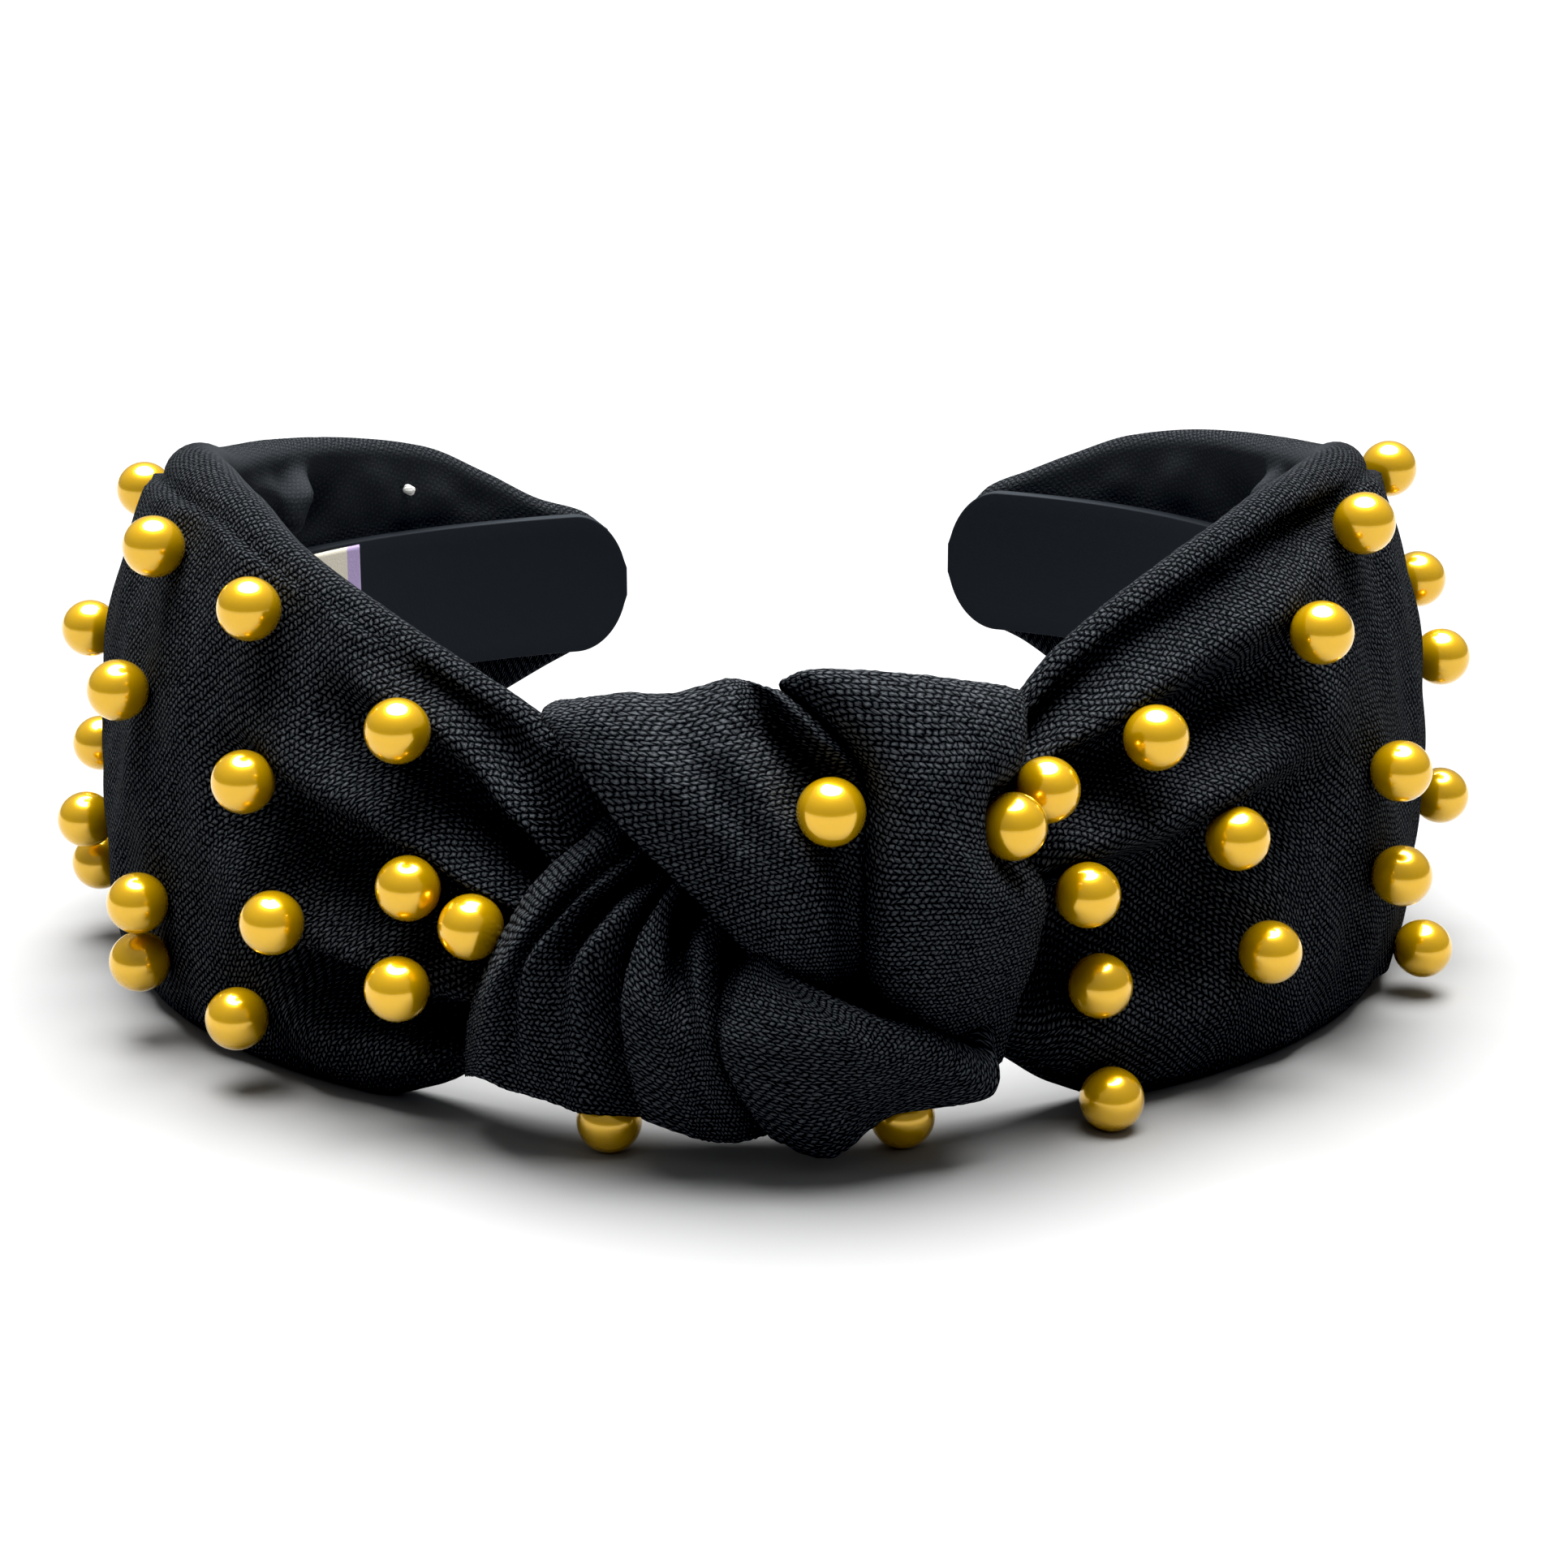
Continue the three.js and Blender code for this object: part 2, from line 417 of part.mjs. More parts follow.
// The hoop is a flat strip whose ends are half ellipses
function hoop() {
  const [left, right] = HOOP_ENDS;
  const rows = [];
  for (let i = 0; i <= HOOP_STEPS; i += 1) {
    const turn = -Math.cos((Math.PI * i) / HOOP_STEPS);
    const signed = THREE.MathUtils.mapLinear(turn, -1, 1, -left.tip, right.tip);
    const end = signed < 0 ? left : right;
    const at = Math.abs(signed);
    const toTip = Math.max((end.tip - at) * MM_PER_DEGREE, HOOP_BEVEL / 2);
    const short = Math.max(1 - toTip / HOOP_TIP_LENGTH, 0);
    const half = (HOOP_STRIP / 2) * Math.sqrt(1 - short ** 2);
    rows.push({ side: end.side, at, half });
  }
  const layer = (out, bevel) => rows.map(({ side, at, half }) =>
    [1, 0, -1].map((level) => onLoop(side, at, out, hoopMid(side, at) + level * (half - bevel))));
  return piece("hoop", wallBetween(layer(0, 0), layer(-HOOP_THICKNESS, HOOP_BEVEL)), COVER_BLACK);
}

function label() {
  const rows = Array.from({ length: LABEL.steps + 1 }, (_, i) =>
    THREE.MathUtils.lerp(LABEL.from, LABEL.to, i / LABEL.steps));
  const layer = (out) => rows.map((at) =>
    [LABEL.low, LABEL.high].map((z) => onLoop(LABEL.side, at, out, z)));
  const behind = -HOOP_THICKNESS - GAP;
  return piece("label", wallBetween(layer(behind), layer(behind - LABEL.thickness)), LABEL_CREAM);
}

function stitchKnot() {
  const ball = new THREE.SphereGeometry(STITCH.round / 2, BALL_SIDES, BALL_RINGS);
  const mesh = piece("stitch_knot", ball, THREAD_WHITE);
  mesh.scale.set(STITCH.long / STITCH.round, 1, 1);
  mesh.rotation.set(0, 0, THREE.MathUtils.degToRad(STITCH.side * STITCH.at));
  mesh.position.copy(onLoop(STITCH.side, STITCH.at, -STITCH.round / 2 - GAP, STITCH.z));
  return mesh;
}

// A strap of the knot: a smooth sheet through its fold lines, drawn in towards the core for its back
function knotStrap({ name, folds, stations, core, share }) {
  const place = ([x, ahead, z]) => new THREE.Vector3(x, -ahead, z);
  const along = (stations.length - 1) * KNOT_STEPS;
  const across = (folds.length - 1) * KNOT_STEPS;
  const through = (points) => new THREE.CatmullRomCurve3(points, false, "catmullrom");
  const lines = folds.map((fold) =>
    through(stations.map((station) => place(fold[station]))).getPoints(along));
  const face = Array.from({ length: along + 1 }, (_, j) =>
    through(lines.map((line) => line[j])).getPoints(across));
  const back = face.map((row) => row.map((point) => point.clone().lerp(place(core), share)));
  return piece(name, wallBetween(face, back), KNIT_BLACK);
}

// A pearl's middle on the cloth, its radius and a small gap out from the face
function pearlOnCloth({ side, at, z }) {
  const band = BANDS.find((row) => row.side === side);
  const face = (angle, height) => onLoop(side, angle, faceOut(band, angle, height), height);
  const turn = NORMAL_STEP / MM_PER_DEGREE;
  const around = face(at + turn, z).sub(face(at - turn, z));
  const upward = face(at, z + NORMAL_STEP).sub(face(at, z - NORMAL_STEP));
  const outward = around.cross(upward).normalize().multiplyScalar(side);
  return face(at, z).addScaledVector(outward, PEARL_RADIUS + GAP);
}

function pearls() {
  const middles = [
    ...CLOTH_PEARLS.map(pearlOnCloth),
    ...KNOT_PEARLS.map(({ x, ahead, z }) => new THREE.Vector3(x, -ahead, z)),
  ];
  return middles.map((middle, i) => {
    const ball = new THREE.SphereGeometry(PEARL_RADIUS, BALL_SIDES, BALL_RINGS);
    const mesh = piece(`pearl_${String(i + 1).padStart(2, "0")}`, ball, PEARL_GOLD);
    mesh.position.copy(middle);
    return mesh;
  });
}

const loop = new THREE.Group();
loop.add(hoop(), ...BANDS.map(bandCloth), ...STRAPS.map(knotStrap), label(), stitchKnot(), ...pearls());

// The origin is the middle of the footprint, on the surface
const reach = new THREE.Box3().setFromObject(loop);
const middle = reach.getCenter(new THREE.Vector3());
loop.position.set(-middle.x, -middle.y, -reach.min.z);

const headband = new THREE.Group();
headband.add(loop);
export default headband;
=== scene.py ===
"""A knotted hair band of black knit cloth with gold pearls, lying on a pale table."""

import math

import bpy
import numpy as np
from mathutils import Matrix, Vector
from mathutils.bvhtree import BVHTree


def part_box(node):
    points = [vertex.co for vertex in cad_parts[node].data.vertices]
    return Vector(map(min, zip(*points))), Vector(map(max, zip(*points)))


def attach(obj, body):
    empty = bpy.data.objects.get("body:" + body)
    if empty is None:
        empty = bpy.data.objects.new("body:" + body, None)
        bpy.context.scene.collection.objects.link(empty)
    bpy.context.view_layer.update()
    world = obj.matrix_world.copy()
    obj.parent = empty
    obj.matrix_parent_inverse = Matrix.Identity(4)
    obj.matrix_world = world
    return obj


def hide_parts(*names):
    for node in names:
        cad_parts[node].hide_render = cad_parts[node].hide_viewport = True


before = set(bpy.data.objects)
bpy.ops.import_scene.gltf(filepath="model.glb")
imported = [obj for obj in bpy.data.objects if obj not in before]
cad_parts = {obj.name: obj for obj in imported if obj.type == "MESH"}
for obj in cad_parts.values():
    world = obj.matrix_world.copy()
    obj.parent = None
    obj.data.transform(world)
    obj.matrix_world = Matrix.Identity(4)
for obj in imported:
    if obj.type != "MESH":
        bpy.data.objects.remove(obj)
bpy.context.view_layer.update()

# Table and studio light
# A pale table top that runs out of sight, under a bright ceiling with darker walls. A wide soft lamp shines
# down on the band, and the camera looks down at the knot from the front.
CAMERA_PLACE = (0.01296, -0.37931, 0.1299)
CAMERA_PITCH = math.radians(15.7)
CAMERA_TURN = math.radians(1.5)
CAMERA_LENS = 74.53
CAMERA_SENSOR = 36
TABLE_SIZE = 24
TABLE_PALE = (0.34, 0.34, 0.34, 1)
ROOM_WHITE = (0.97, 0.985, 1, 1)
CEILING_LIGHT = 0.5
WALL_LIGHT = 0.2
PICTURE_GAMMA = 0.86
PICTURE_BLACK = (0.009, 0.009, 0.008)
LAMP_STRENGTH = 10
LAMP_SPREAD = math.radians(56)
LAMP_TILT = math.radians(-7)


class Shade:
    """A socket in a node tree. Sums on it are written as plain expressions and add their Math nodes."""

    def __init__(self, tree, socket=None):
        self.tree = tree
        self.socket = socket

    def node(self, kind, inputs, output=0, **settings):
        made = self.tree.nodes.new(kind)
        for name, value in settings.items():
            setattr(made, name, value)
        for name, value in inputs.items():
            self.feed(made.inputs[name], value)
        return Shade(self.tree, made.outputs[output])

    def feed(self, socket, value):
        if isinstance(value, Shade):
            self.tree.links.new(value.socket, socket)
        else:
            socket.default_value = value

    def math(self, operation, *values):
        return self.node("ShaderNodeMath", dict(enumerate(values)), operation=operation)

    def __add__(self, other):
        return self.math("ADD", self, other)

    def __sub__(self, other):
        return self.math("SUBTRACT", self, other)

    def __rsub__(self, other):
        return self.math("SUBTRACT", other, self)

    def __mul__(self, other):
        return self.math("MULTIPLY", self, other)

    def __truediv__(self, other):
        return self.math("DIVIDE", self, other)

    def __pow__(self, other):
        return self.math("POWER", self, other)

    def mix(self, low, high):
        """A colour between two, by the colour sockets of a Mix node."""
        return self.node("ShaderNodeMix", {0: self, 6: low, 7: high}, output=2, data_type="RGBA")


def new_material(name, finish):
    """A material with its finish set, its main shader, and a start for sums in its node tree."""
    material = bpy.data.materials.new(name)
    material.use_nodes = True
    principled = material.node_tree.nodes["Principled BSDF"]
    for socket, value in finish.items():
        principled.inputs[socket].default_value = value
    return material, principled, Shade(material.node_tree)


scene = bpy.context.scene
scene.view_settings.view_transform = "Standard"
scene.view_settings.gamma = PICTURE_GAMMA
scene.view_settings.use_curve_mapping = True
scene.view_settings.curve_mapping.black_level = PICTURE_BLACK
scene.view_settings.curve_mapping.update()

bpy.ops.object.camera_add(location=CAMERA_PLACE, rotation=(math.pi / 2 - CAMERA_PITCH, 0, CAMERA_TURN))
scene.camera = bpy.context.object
scene.camera.data.sensor_width = CAMERA_SENSOR
scene.camera.data.lens = CAMERA_LENS

scene.world = bpy.data.worlds.new("studio")
scene.world.use_nodes = True
room = Shade(scene.world.node_tree)
upward = room.node("ShaderNodeSeparateXYZ", {0: room.node("ShaderNodeTexCoord", {})}, output=2)
height_in_room = upward.math("MAXIMUM", upward, 0)
room_light = height_in_room * (CEILING_LIGHT - WALL_LIGHT) + WALL_LIGHT
background = scene.world.node_tree.nodes["Background"]
background.inputs["Color"].default_value = ROOM_WHITE
room.feed(background.inputs["Strength"], room_light)

bpy.ops.mesh.primitive_plane_add(size=TABLE_SIZE)
table = bpy.context.object
table.name = "table"
table_material, _, _ = new_material("pale table", {"Base Color": TABLE_PALE, "Specular IOR Level": 0})
table.data.materials.append(table_material)

bpy.ops.object.light_add(type="SUN", rotation=(LAMP_TILT, 0, 0))
lamp = bpy.context.object.data
lamp.energy = LAMP_STRENGTH
lamp.angle = LAMP_SPREAD

# Hoop
# A springy plastic strip bent into an open loop with rounded ends, in a smooth black cover glued round it.
# Lengths are in millimetres, times MM for metres, and angles in degrees from the knot, on side -1 (left) or
# 1 (right).
MM = 0.001
HALF_WIDTH = 72.4
HALF_DEPTH = 63.5
STRIP_WIDTH = 19.5
STRIP_THICKNESS = 2.2
STRIP_MID = 34
STRIP_ROWS = 8
LOOP_VERTICES = 1200
ANGLE_SLACK = 0.05
TIP_LENGTH = 8
TIP_CAP = 0.98
TIP_AT = {-1: 162.3, 1: 160.2}
TIP_LIFT = {-1: -1.0, 1: 2.8}
LIFT_FROM = 60
LIFT_TO = 150
MM_PER_DEGREE = 1.32
EDGE_ROUND = 0.48
EDGE_SEGMENTS = 5
EDGE_CORNER = math.radians(50)
COVER_BLACK = (0.029, 0.034, 0.040, 1)
COVER_FINISH = {"Base Color": COVER_BLACK, "Roughness": 0.7, "Specular IOR Level": 0.15}
COVER_GRAIN = {"Scale": 2600, "Detail": 3}
COVER_DENTS = {"Scale": 160, "Detail": 2}
COVER_RELIEF = {"Strength": 0.5, "Distance": 0.00012}
GRAIN_SHARE = 0.35

hoop_low, hoop_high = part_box("hoop")
LOOP_MIDDLE = np.array([(hoop_low[0] + hoop_high[0]) / 2, hoop_low[1] + HALF_DEPTH * MM, 0])


def smooth_step(start, end, value):
    share = np.clip((value - start) / (end - start), 0, 1)
    return share * share * (3 - 2 * share)


def hoop_mid(side, at):
    return STRIP_MID + TIP_LIFT[side] * smooth_step(LIFT_FROM, LIFT_TO, at)


def on_loop(side, at, out, z):
    """The place in metres at an angle from the knot, a distance out from the hoop and a height."""
    angle = side * np.radians(at)
    across = np.sin(angle)
    ahead = -np.cos(angle)
    slant = np.hypot(across / HALF_WIDTH, ahead / HALF_DEPTH)
    x = HALF_WIDTH * across + out * across / (HALF_WIDTH * slant)
    y = HALF_DEPTH * ahead + out * ahead / (HALF_DEPTH * slant)
    return np.stack(np.broadcast_arrays(x, y, z), axis=-1) * MM + LOOP_MIDDLE


def edit_chosen(piece, chosen, operator, **settings):
    """Runs an edit-mode operator on the vertices that are chosen."""
    bpy.ops.object.mode_set(mode="EDIT")
    bpy.ops.mesh.select_all(action="DESELECT")
    bpy.ops.object.mode_set(mode="OBJECT")
    piece.data.vertices.foreach_set("select", chosen)
    bpy.ops.object.mode_set(mode="EDIT")
    operator(**settings)
    bpy.ops.object.mode_set(mode="OBJECT")


def apply_modifier(piece, kind, **settings):
    modifier = piece.modifiers.new(kind, kind)
    for name, value in settings.items():
        setattr(modifier, name, value)
    bpy.context.view_layer.objects.active = piece
    bpy.ops.object.modifier_apply(modifier=modifier.name)


def settle(piece, node, material):
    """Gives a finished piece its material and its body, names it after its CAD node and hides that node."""
    piece.name = f"{node}_finished"
    piece.data.materials.clear()
    piece.data.materials.append(material)
    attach(piece, "root")
    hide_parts(node)


bpy.ops.object.select_all(action="DESELECT")
bpy.ops.mesh.primitive_circle_add(vertices=LOOP_VERTICES, radius=1)
hoop = bpy.context.object
bpy.ops.object.mode_set(mode="EDIT")
bpy.ops.transform.resize(value=(HALF_WIDTH * MM, HALF_DEPTH * MM, 1))
for _ in range(STRIP_ROWS):
    bpy.ops.mesh.extrude_edges_move(TRANSFORM_OT_translate={"value": (0, 0, STRIP_WIDTH * MM / STRIP_ROWS)})
bpy.ops.mesh.select_all(action="SELECT")
bpy.ops.transform.translate(value=(*LOOP_MIDDLE[:2], (STRIP_MID - STRIP_WIDTH / 2) * MM))
bpy.ops.object.mode_set(mode="OBJECT")


def loop_angles(piece):
    """Each vertex's angle from the knot, below zero on the left."""
    places = np.empty(len(piece.data.vertices) * 3)
    piece.data.vertices.foreach_get("co", places)
    x, y = (places.reshape(-1, 3) - LOOP_MIDDLE)[:, :2].T / MM
    return np.degrees(np.arctan2(x / HALF_WIDTH, -y / HALF_DEPTH))


angles = loop_angles(hoop)
in_gap = (angles < -TIP_AT[-1] - ANGLE_SLACK) | (angles > TIP_AT[1] + ANGLE_SLACK)
edit_chosen(hoop, in_gap, bpy.ops.mesh.delete, type="VERT")
angles = loop_angles(hoop)
for angle in np.unique(angles.round(3)):
    side = -1 if angle < 0 else 1
    chosen = np.abs(angles - angle) < ANGLE_SLACK
    short = max(1 - (TIP_AT[side] - abs(angle)) * MM_PER_DEGREE / TIP_LENGTH, 0)
    lift = hoop_mid(side, abs(angle)) - STRIP_MID
    if short > 0:
        narrow = math.sqrt(1 - min(short, TIP_CAP) ** 2)
        edit_chosen(hoop, chosen, bpy.ops.transform.resize, value=(1, 1, narrow),
                    center_override=(0, 0, STRIP_MID * MM))
    if lift != 0:
        edit_chosen(hoop, chosen, bpy.ops.transform.translate, value=(0, 0, lift * MM))
edit_chosen(hoop, np.ones(len(angles), bool), bpy.ops.mesh.normals_make_consistent, inside=False)
apply_modifier(hoop, "SOLIDIFY", thickness=STRIP_THICKNESS * MM, offset=-1, use_even_offset=True)
apply_modifier(hoop, "BEVEL", width=STRIP_THICKNESS * EDGE_ROUND * MM, segments=EDGE_SEGMENTS,
               limit_method="ANGLE", angle_limit=EDGE_CORNER)
bpy.ops.object.shade_smooth()

cover, cover_shader, shade = new_material("hoop cover", COVER_FINISH)
place = shade.node("ShaderNodeTexCoord", {}, output="Object")
grain = shade.node("ShaderNodeTexNoise", {"Vector": place, **COVER_GRAIN})
dents = shade.node("ShaderNodeTexNoise", {"Vector": place, **COVER_DENTS})
relief = shade.node("ShaderNodeBump", {"Height": grain * GRAIN_SHARE + dents, **COVER_RELIEF})
shade.feed(cover_shader.inputs["Normal"], relief)
settle(hoop, "hoop", cover)

# Label and thread end
# A cream woven tape glued flat on the inner face of the hoop, and the white knotted end of the thread that
# sews the left cloth's flap.
LABEL = {"side": -1, "from": 113.5, "to": 127, "low": 30.5, "high": 42.6, "thickness": 0.6}
LABEL_GRID = (60, 40)
LABEL_GAP = 0.1
LABEL_EDGE = 0.4
LABEL_CREAM = (0.78, 0.73, 0.62, 1)
LABEL_LILAC = (0.52, 0.42, 0.66, 1)
LILAC_SPAN = 1.6
TAPE_FINISH = {"Roughness": 0.75}
TAPE_THREADS = {"Scale": 3500, "Detail": 1}
TAPE_RELIEF = {"Strength": 0.4, "Distance": 0.0001}
THREAD_RADIUS = 0.32
THREAD_LOOP = 0.55
THREAD_SEGMENTS = (28, 12)
THREAD_TURNS = (65, 125)
THREAD_WHITE = (0.86, 0.85, 0.82, 1)
THREAD_FINISH = {"Base Color": THREAD_WHITE, "Roughness": 0.6}


def sheet_faces(rows, columns):
    """Quads of a sheet's face and back, which share their border."""
    face = np.arange(rows * columns).reshape(rows, columns)
    back = face.copy()
    back[1:-1, 1:-1] = rows * columns + np.arange((rows - 2) * (columns - 2)).reshape(rows - 2, columns - 2)
    front = [face[:-1, :-1], face[1:, :-1], face[1:, 1:], face[:-1, 1:]]
    behind = [back[:-1, :-1], back[:-1, 1:], back[1:, 1:], back[1:, :-1]]
    return np.concatenate([np.stack(corners, -1).reshape(-1, 4) for corners in (front, behind)])


def mesh_piece(name, points, quads, cloth=None):
    """A smooth mesh object. Cloth holds each vertex's place on the flat cloth, in metres."""
    mesh = bpy.data.meshes.new(name)
    mesh.from_pydata(points, [], quads)
    if cloth is not None:
        corners = np.empty(len(mesh.loops), int)
        mesh.loops.foreach_get("vertex_index", corners)
        mesh.uv_layers.new(name="cloth").data.foreach_set("uv", cloth[corners].ravel())
    piece = bpy.data.objects.new(name, mesh)
    bpy.context.collection.objects.link(piece)
    bpy.ops.object.select_all(action="DESELECT")
    piece.select_set(True)
    bpy.context.view_layer.objects.active = piece
    bpy.ops.object.mode_set(mode="EDIT")
    bpy.ops.mesh.select_all(action="SELECT")
    bpy.ops.mesh.normals_make_consistent(inside=False)
    bpy.ops.object.mode_set(mode="OBJECT")
    bpy.ops.object.shade_smooth()
    return piece


def rounded_sheet(face, back, edge):
    """Points of a closed sheet between two grids, thinned to nothing over a rounded edge."""
    middle = (face + back) / 2

    def from_border(points):
        steps = np.linalg.norm(np.diff(points, axis=0), axis=-1)
        run = np.concatenate((np.zeros_like(steps[:1]), np.cumsum(steps, axis=0)))
        return np.minimum(run, run[-1:] - run)

    inside = np.minimum(from_border(face), from_border(face.swapaxes(0, 1)).T)
    fullness = np.sqrt(1 - (1 - np.clip(inside / edge, 0, 1)) ** 2)[..., None]
    front = middle + (face - middle) * fullness
    behind = middle + (back - middle) * fullness
    return np.concatenate((front.reshape(-1, 3), behind[1:-1, 1:-1].reshape(-1, 3)))


label_at = np.linspace(LABEL["from"], LABEL["to"], LABEL_GRID[0])[:, None]
label_z = np.linspace(LABEL["low"], LABEL["high"], LABEL_GRID[1])[None, :]
label_out = -STRIP_THICKNESS - LABEL_GAP
label_face = on_loop(LABEL["side"], label_at, label_out - LABEL["thickness"], label_z)
label_back = on_loop(LABEL["side"], label_at, label_out, label_z)
label_points = rounded_sheet(label_face, label_back, LABEL_EDGE * MM)
label = mesh_piece("label", label_points, sheet_faces(*LABEL_GRID))
lilac_from = float(on_loop(LABEL["side"], LABEL["to"] - LILAC_SPAN, label_out, 0)[0])
tape, tape_shader, shade = new_material("label tape", TAPE_FINISH)
place = shade.node("ShaderNodeTexCoord", {}, output="Object")
along = shade.node("ShaderNodeSeparateXYZ", {0: place}, output=0)
selvedge = along.math("GREATER_THAN", along, lilac_from)
shade.feed(tape_shader.inputs["Base Color"], selvedge.mix(LABEL_CREAM, LABEL_LILAC))
threads = shade.node("ShaderNodeTexNoise", {"Vector": place, **TAPE_THREADS})
relief = shade.node("ShaderNodeBump", {"Height": threads, **TAPE_RELIEF})
shade.feed(tape_shader.inputs["Normal"], relief)
settle(label, "label", tape)

stitch_low, stitch_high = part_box("stitch_knot")
stitch_place = [(low + high) / 2 for low, high in zip(stitch_low, stitch_high)]
bpy.ops.object.select_all(action="DESELECT")
bpy.ops.mesh.primitive_torus_add(major_radius=THREAD_LOOP * MM, minor_radius=THREAD_RADIUS * MM,
                                 major_segments=THREAD_SEGMENTS[0], minor_segments=THREAD_SEGMENTS[1])
stitch = bpy.context.object
bpy.ops.object.mode_set(mode="EDIT")
for turn in THREAD_TURNS:
    bpy.ops.mesh.duplicate()
    bpy.ops.transform.rotate(value=math.radians(turn), orient_axis="X", center_override=(0, 0, 0))
    bpy.ops.transform.rotate(value=math.radians(turn / 2), orient_axis="Z", center_override=(0, 0, 0))
bpy.ops.mesh.select_all(action="SELECT")
bpy.ops.transform.translate(value=stitch_place)
bpy.ops.object.mode_set(mode="OBJECT")
bpy.ops.object.shade_smooth()
thread, _, _ = new_material("thread white", THREAD_FINISH)
settle(stitch, "stitch_knot", thread)

# Cloth on both sides
# A wide strip of matt black knit folded round the hoop as a soft tube and glued to it behind both edges. It
# is pulled together into the knot, so that folds run out of it and die away along the sides.
CLOTH = 1.1
GAP = 0.3
LIP_TUCK = 3
LEAN_START = 2
CROWN_POWER = 2.4
FOLD_FADE = 2.8
CREASE_TAIL = 0.75
FLAP_WAVES = 1.6
FLAP_FREE = 5
LEVEL_STEP = 0.001
LEAST_FACE = 2
LEAN_LEVEL = 0.2
LEAST_REACH = 0.1
END_ROUND = 3.6
END_CAP = 0.97
TURN_POINTS = 24
SPAN_POINTS = 160
BAND_COLUMNS = 300
BAND_ROWS = 150
BAND_CROWDING = 1.25
BAND_STITCH = (0.78, 0.64)
BAND_BIAS = math.radians(48)
BAND_RELIEF = 0.35
STITCH_CRUMPLE = 1
STITCH_STAGGER = 0.5
STITCH_LEAN = 0.5
STITCH_SHARPNESS = 1.5
STRAND_STRETCH = 2.5
CRUMPLE_NOISE = {"Scale": 1.2, "Detail": 3}
STRAND_NOISE = {"Scale": 1.6, "Detail": 2, "Roughness": 0.7}
FIBRE_NOISE = {"Scale": 4200, "Detail": 3}
WRONG_SIDE_FROM = 3
WRONG_SIDE_SMOOTH = 0.85
WRONG_SIDE_LIGHT = 0.42
# Black knit colours: the lighter one is painted light on the tops of the stitches, the darker one painted
# shade in the gaps between them
KNIT_PAINTED_LIGHT = (0.104, 0.113, 0.122, 1)
KNIT_PAINTED_SHADE = (0.0015, 0.0018, 0.0025, 1)
KNIT_FINISH = {"Roughness": 0.9, "Specular IOR Level": 0.04}
KNIT_BUMP = {"Strength": 1.0, "Distance": 0.001}
# What the noise of the strands and fibres adds to the painted light and the height of a stitch: its gain and
# its level
STRAND_LIGHT = (3.6, -0.9)
FIBRE_LIGHT = (0.8, 0.6)
STRAND_HEIGHT = (0.9, 0.4)
FIBRE_HEIGHT = 0.05

# Each cross section's angle, the heights of its lower and upper edge, how far its face stands out, how far
# its upper edge leans inwards, and the radii of the rolls at its lower and upper edge
SECTION = ("at", "low", "high", "puff", "lean", "roll", "brim")
LEFT_SECTIONS = [
    (0.1, 12.8, 41, 6, 0, 1.9, 1.9),
    (8, 12.6, 41, 6.5, 0, 1.9, 1.9),
    (14, 11.4, 43, 8, 0, 2.2, 1.9),
    (20, 7.5, 47.3, 9.5, 0, 2.6, 2),
    (26, 2.5, 51.3, 9.5, 0, 3, 2.1),
    (33, 0, 55.3, 9, 0.5, 3.2, 2.2),
    (42, 0, 59.3, 8.8, 2, 3.2, 2.5),
    (54, 0, 63.6, 8.7, 5.2, 3.2, 3.1),
    (68, 0, 65, 8.7, 7.6, 3.2, 3.9),
    (85, 0, 63.5, 8.7, 8, 3, 3.9),
    (100, 1.5, 60.3, 8.2, 6.3, 2.6, 3.1),
    (115, 5, 58.6, 7.2, 3.8, 2.2, 2.6),
    (128, 8.5, 56.6, 6.2, 1.5, 1.9, 2),
    (139, 12.5, 53.8, 5.4, 0.5, 1.9, 1.9),
    (147, 17, 49, 4.8, 0, 1.9, 1.9),
    (153, 20.5, 44.8, 4.4, 0, 1.9, 1.9),
    (158, 23.5, 42.6, 4.1, 0, 1.9, 1.9),
    (160.6, 26.2, 40.1, 3.9, 0, 1.9, 1.9),
]
RIGHT_SECTIONS = [
    (0.1, 12.8, 41, 6, 0, 1.9, 1.9),
    (8, 12.6, 41, 6.5, 0, 1.9, 1.9),
    (14, 11.6, 41.5, 8, 0, 2, 1.9),
    (20, 8, 43.8, 9.5, 0, 2.2, 2),
    (26, 3, 51.5, 9.5, 0, 2.4, 2.1),
    (33, 0, 57.1, 9, 0.5, 2.4, 2.2),
    (42, 0, 61.5, 8.6, 2, 2.4, 2.4),
    (54, 0, 64.8, 8.2, 4.4, 2.4, 2.7),
    (68, 0, 65.7, 8, 6.6, 2.4, 3.4),
    (85, 0, 64.2, 8, 7.3, 2.4, 3.6),
    (100, 1.5, 61.3, 7.8, 5.9, 2.2, 2.9),
    (115, 5.5, 59.6, 7, 3.6, 2, 2.5),
    (128, 10, 58.2, 6.2, 1.5, 1.9, 2),
    (139, 16, 55.8, 5.4, 0.5, 1.9, 1.9),
    (147, 21.5, 52, 4.8, 0, 1.9, 1.9),
    (152, 25, 49.2, 4.4, 0, 1.9, 1.9),
    (156.5, 27.3, 46.6, 4.1, 0, 1.9, 1.9),
    (158.6, 30, 43.6, 3.9, 0, 1.9, 1.9),
]
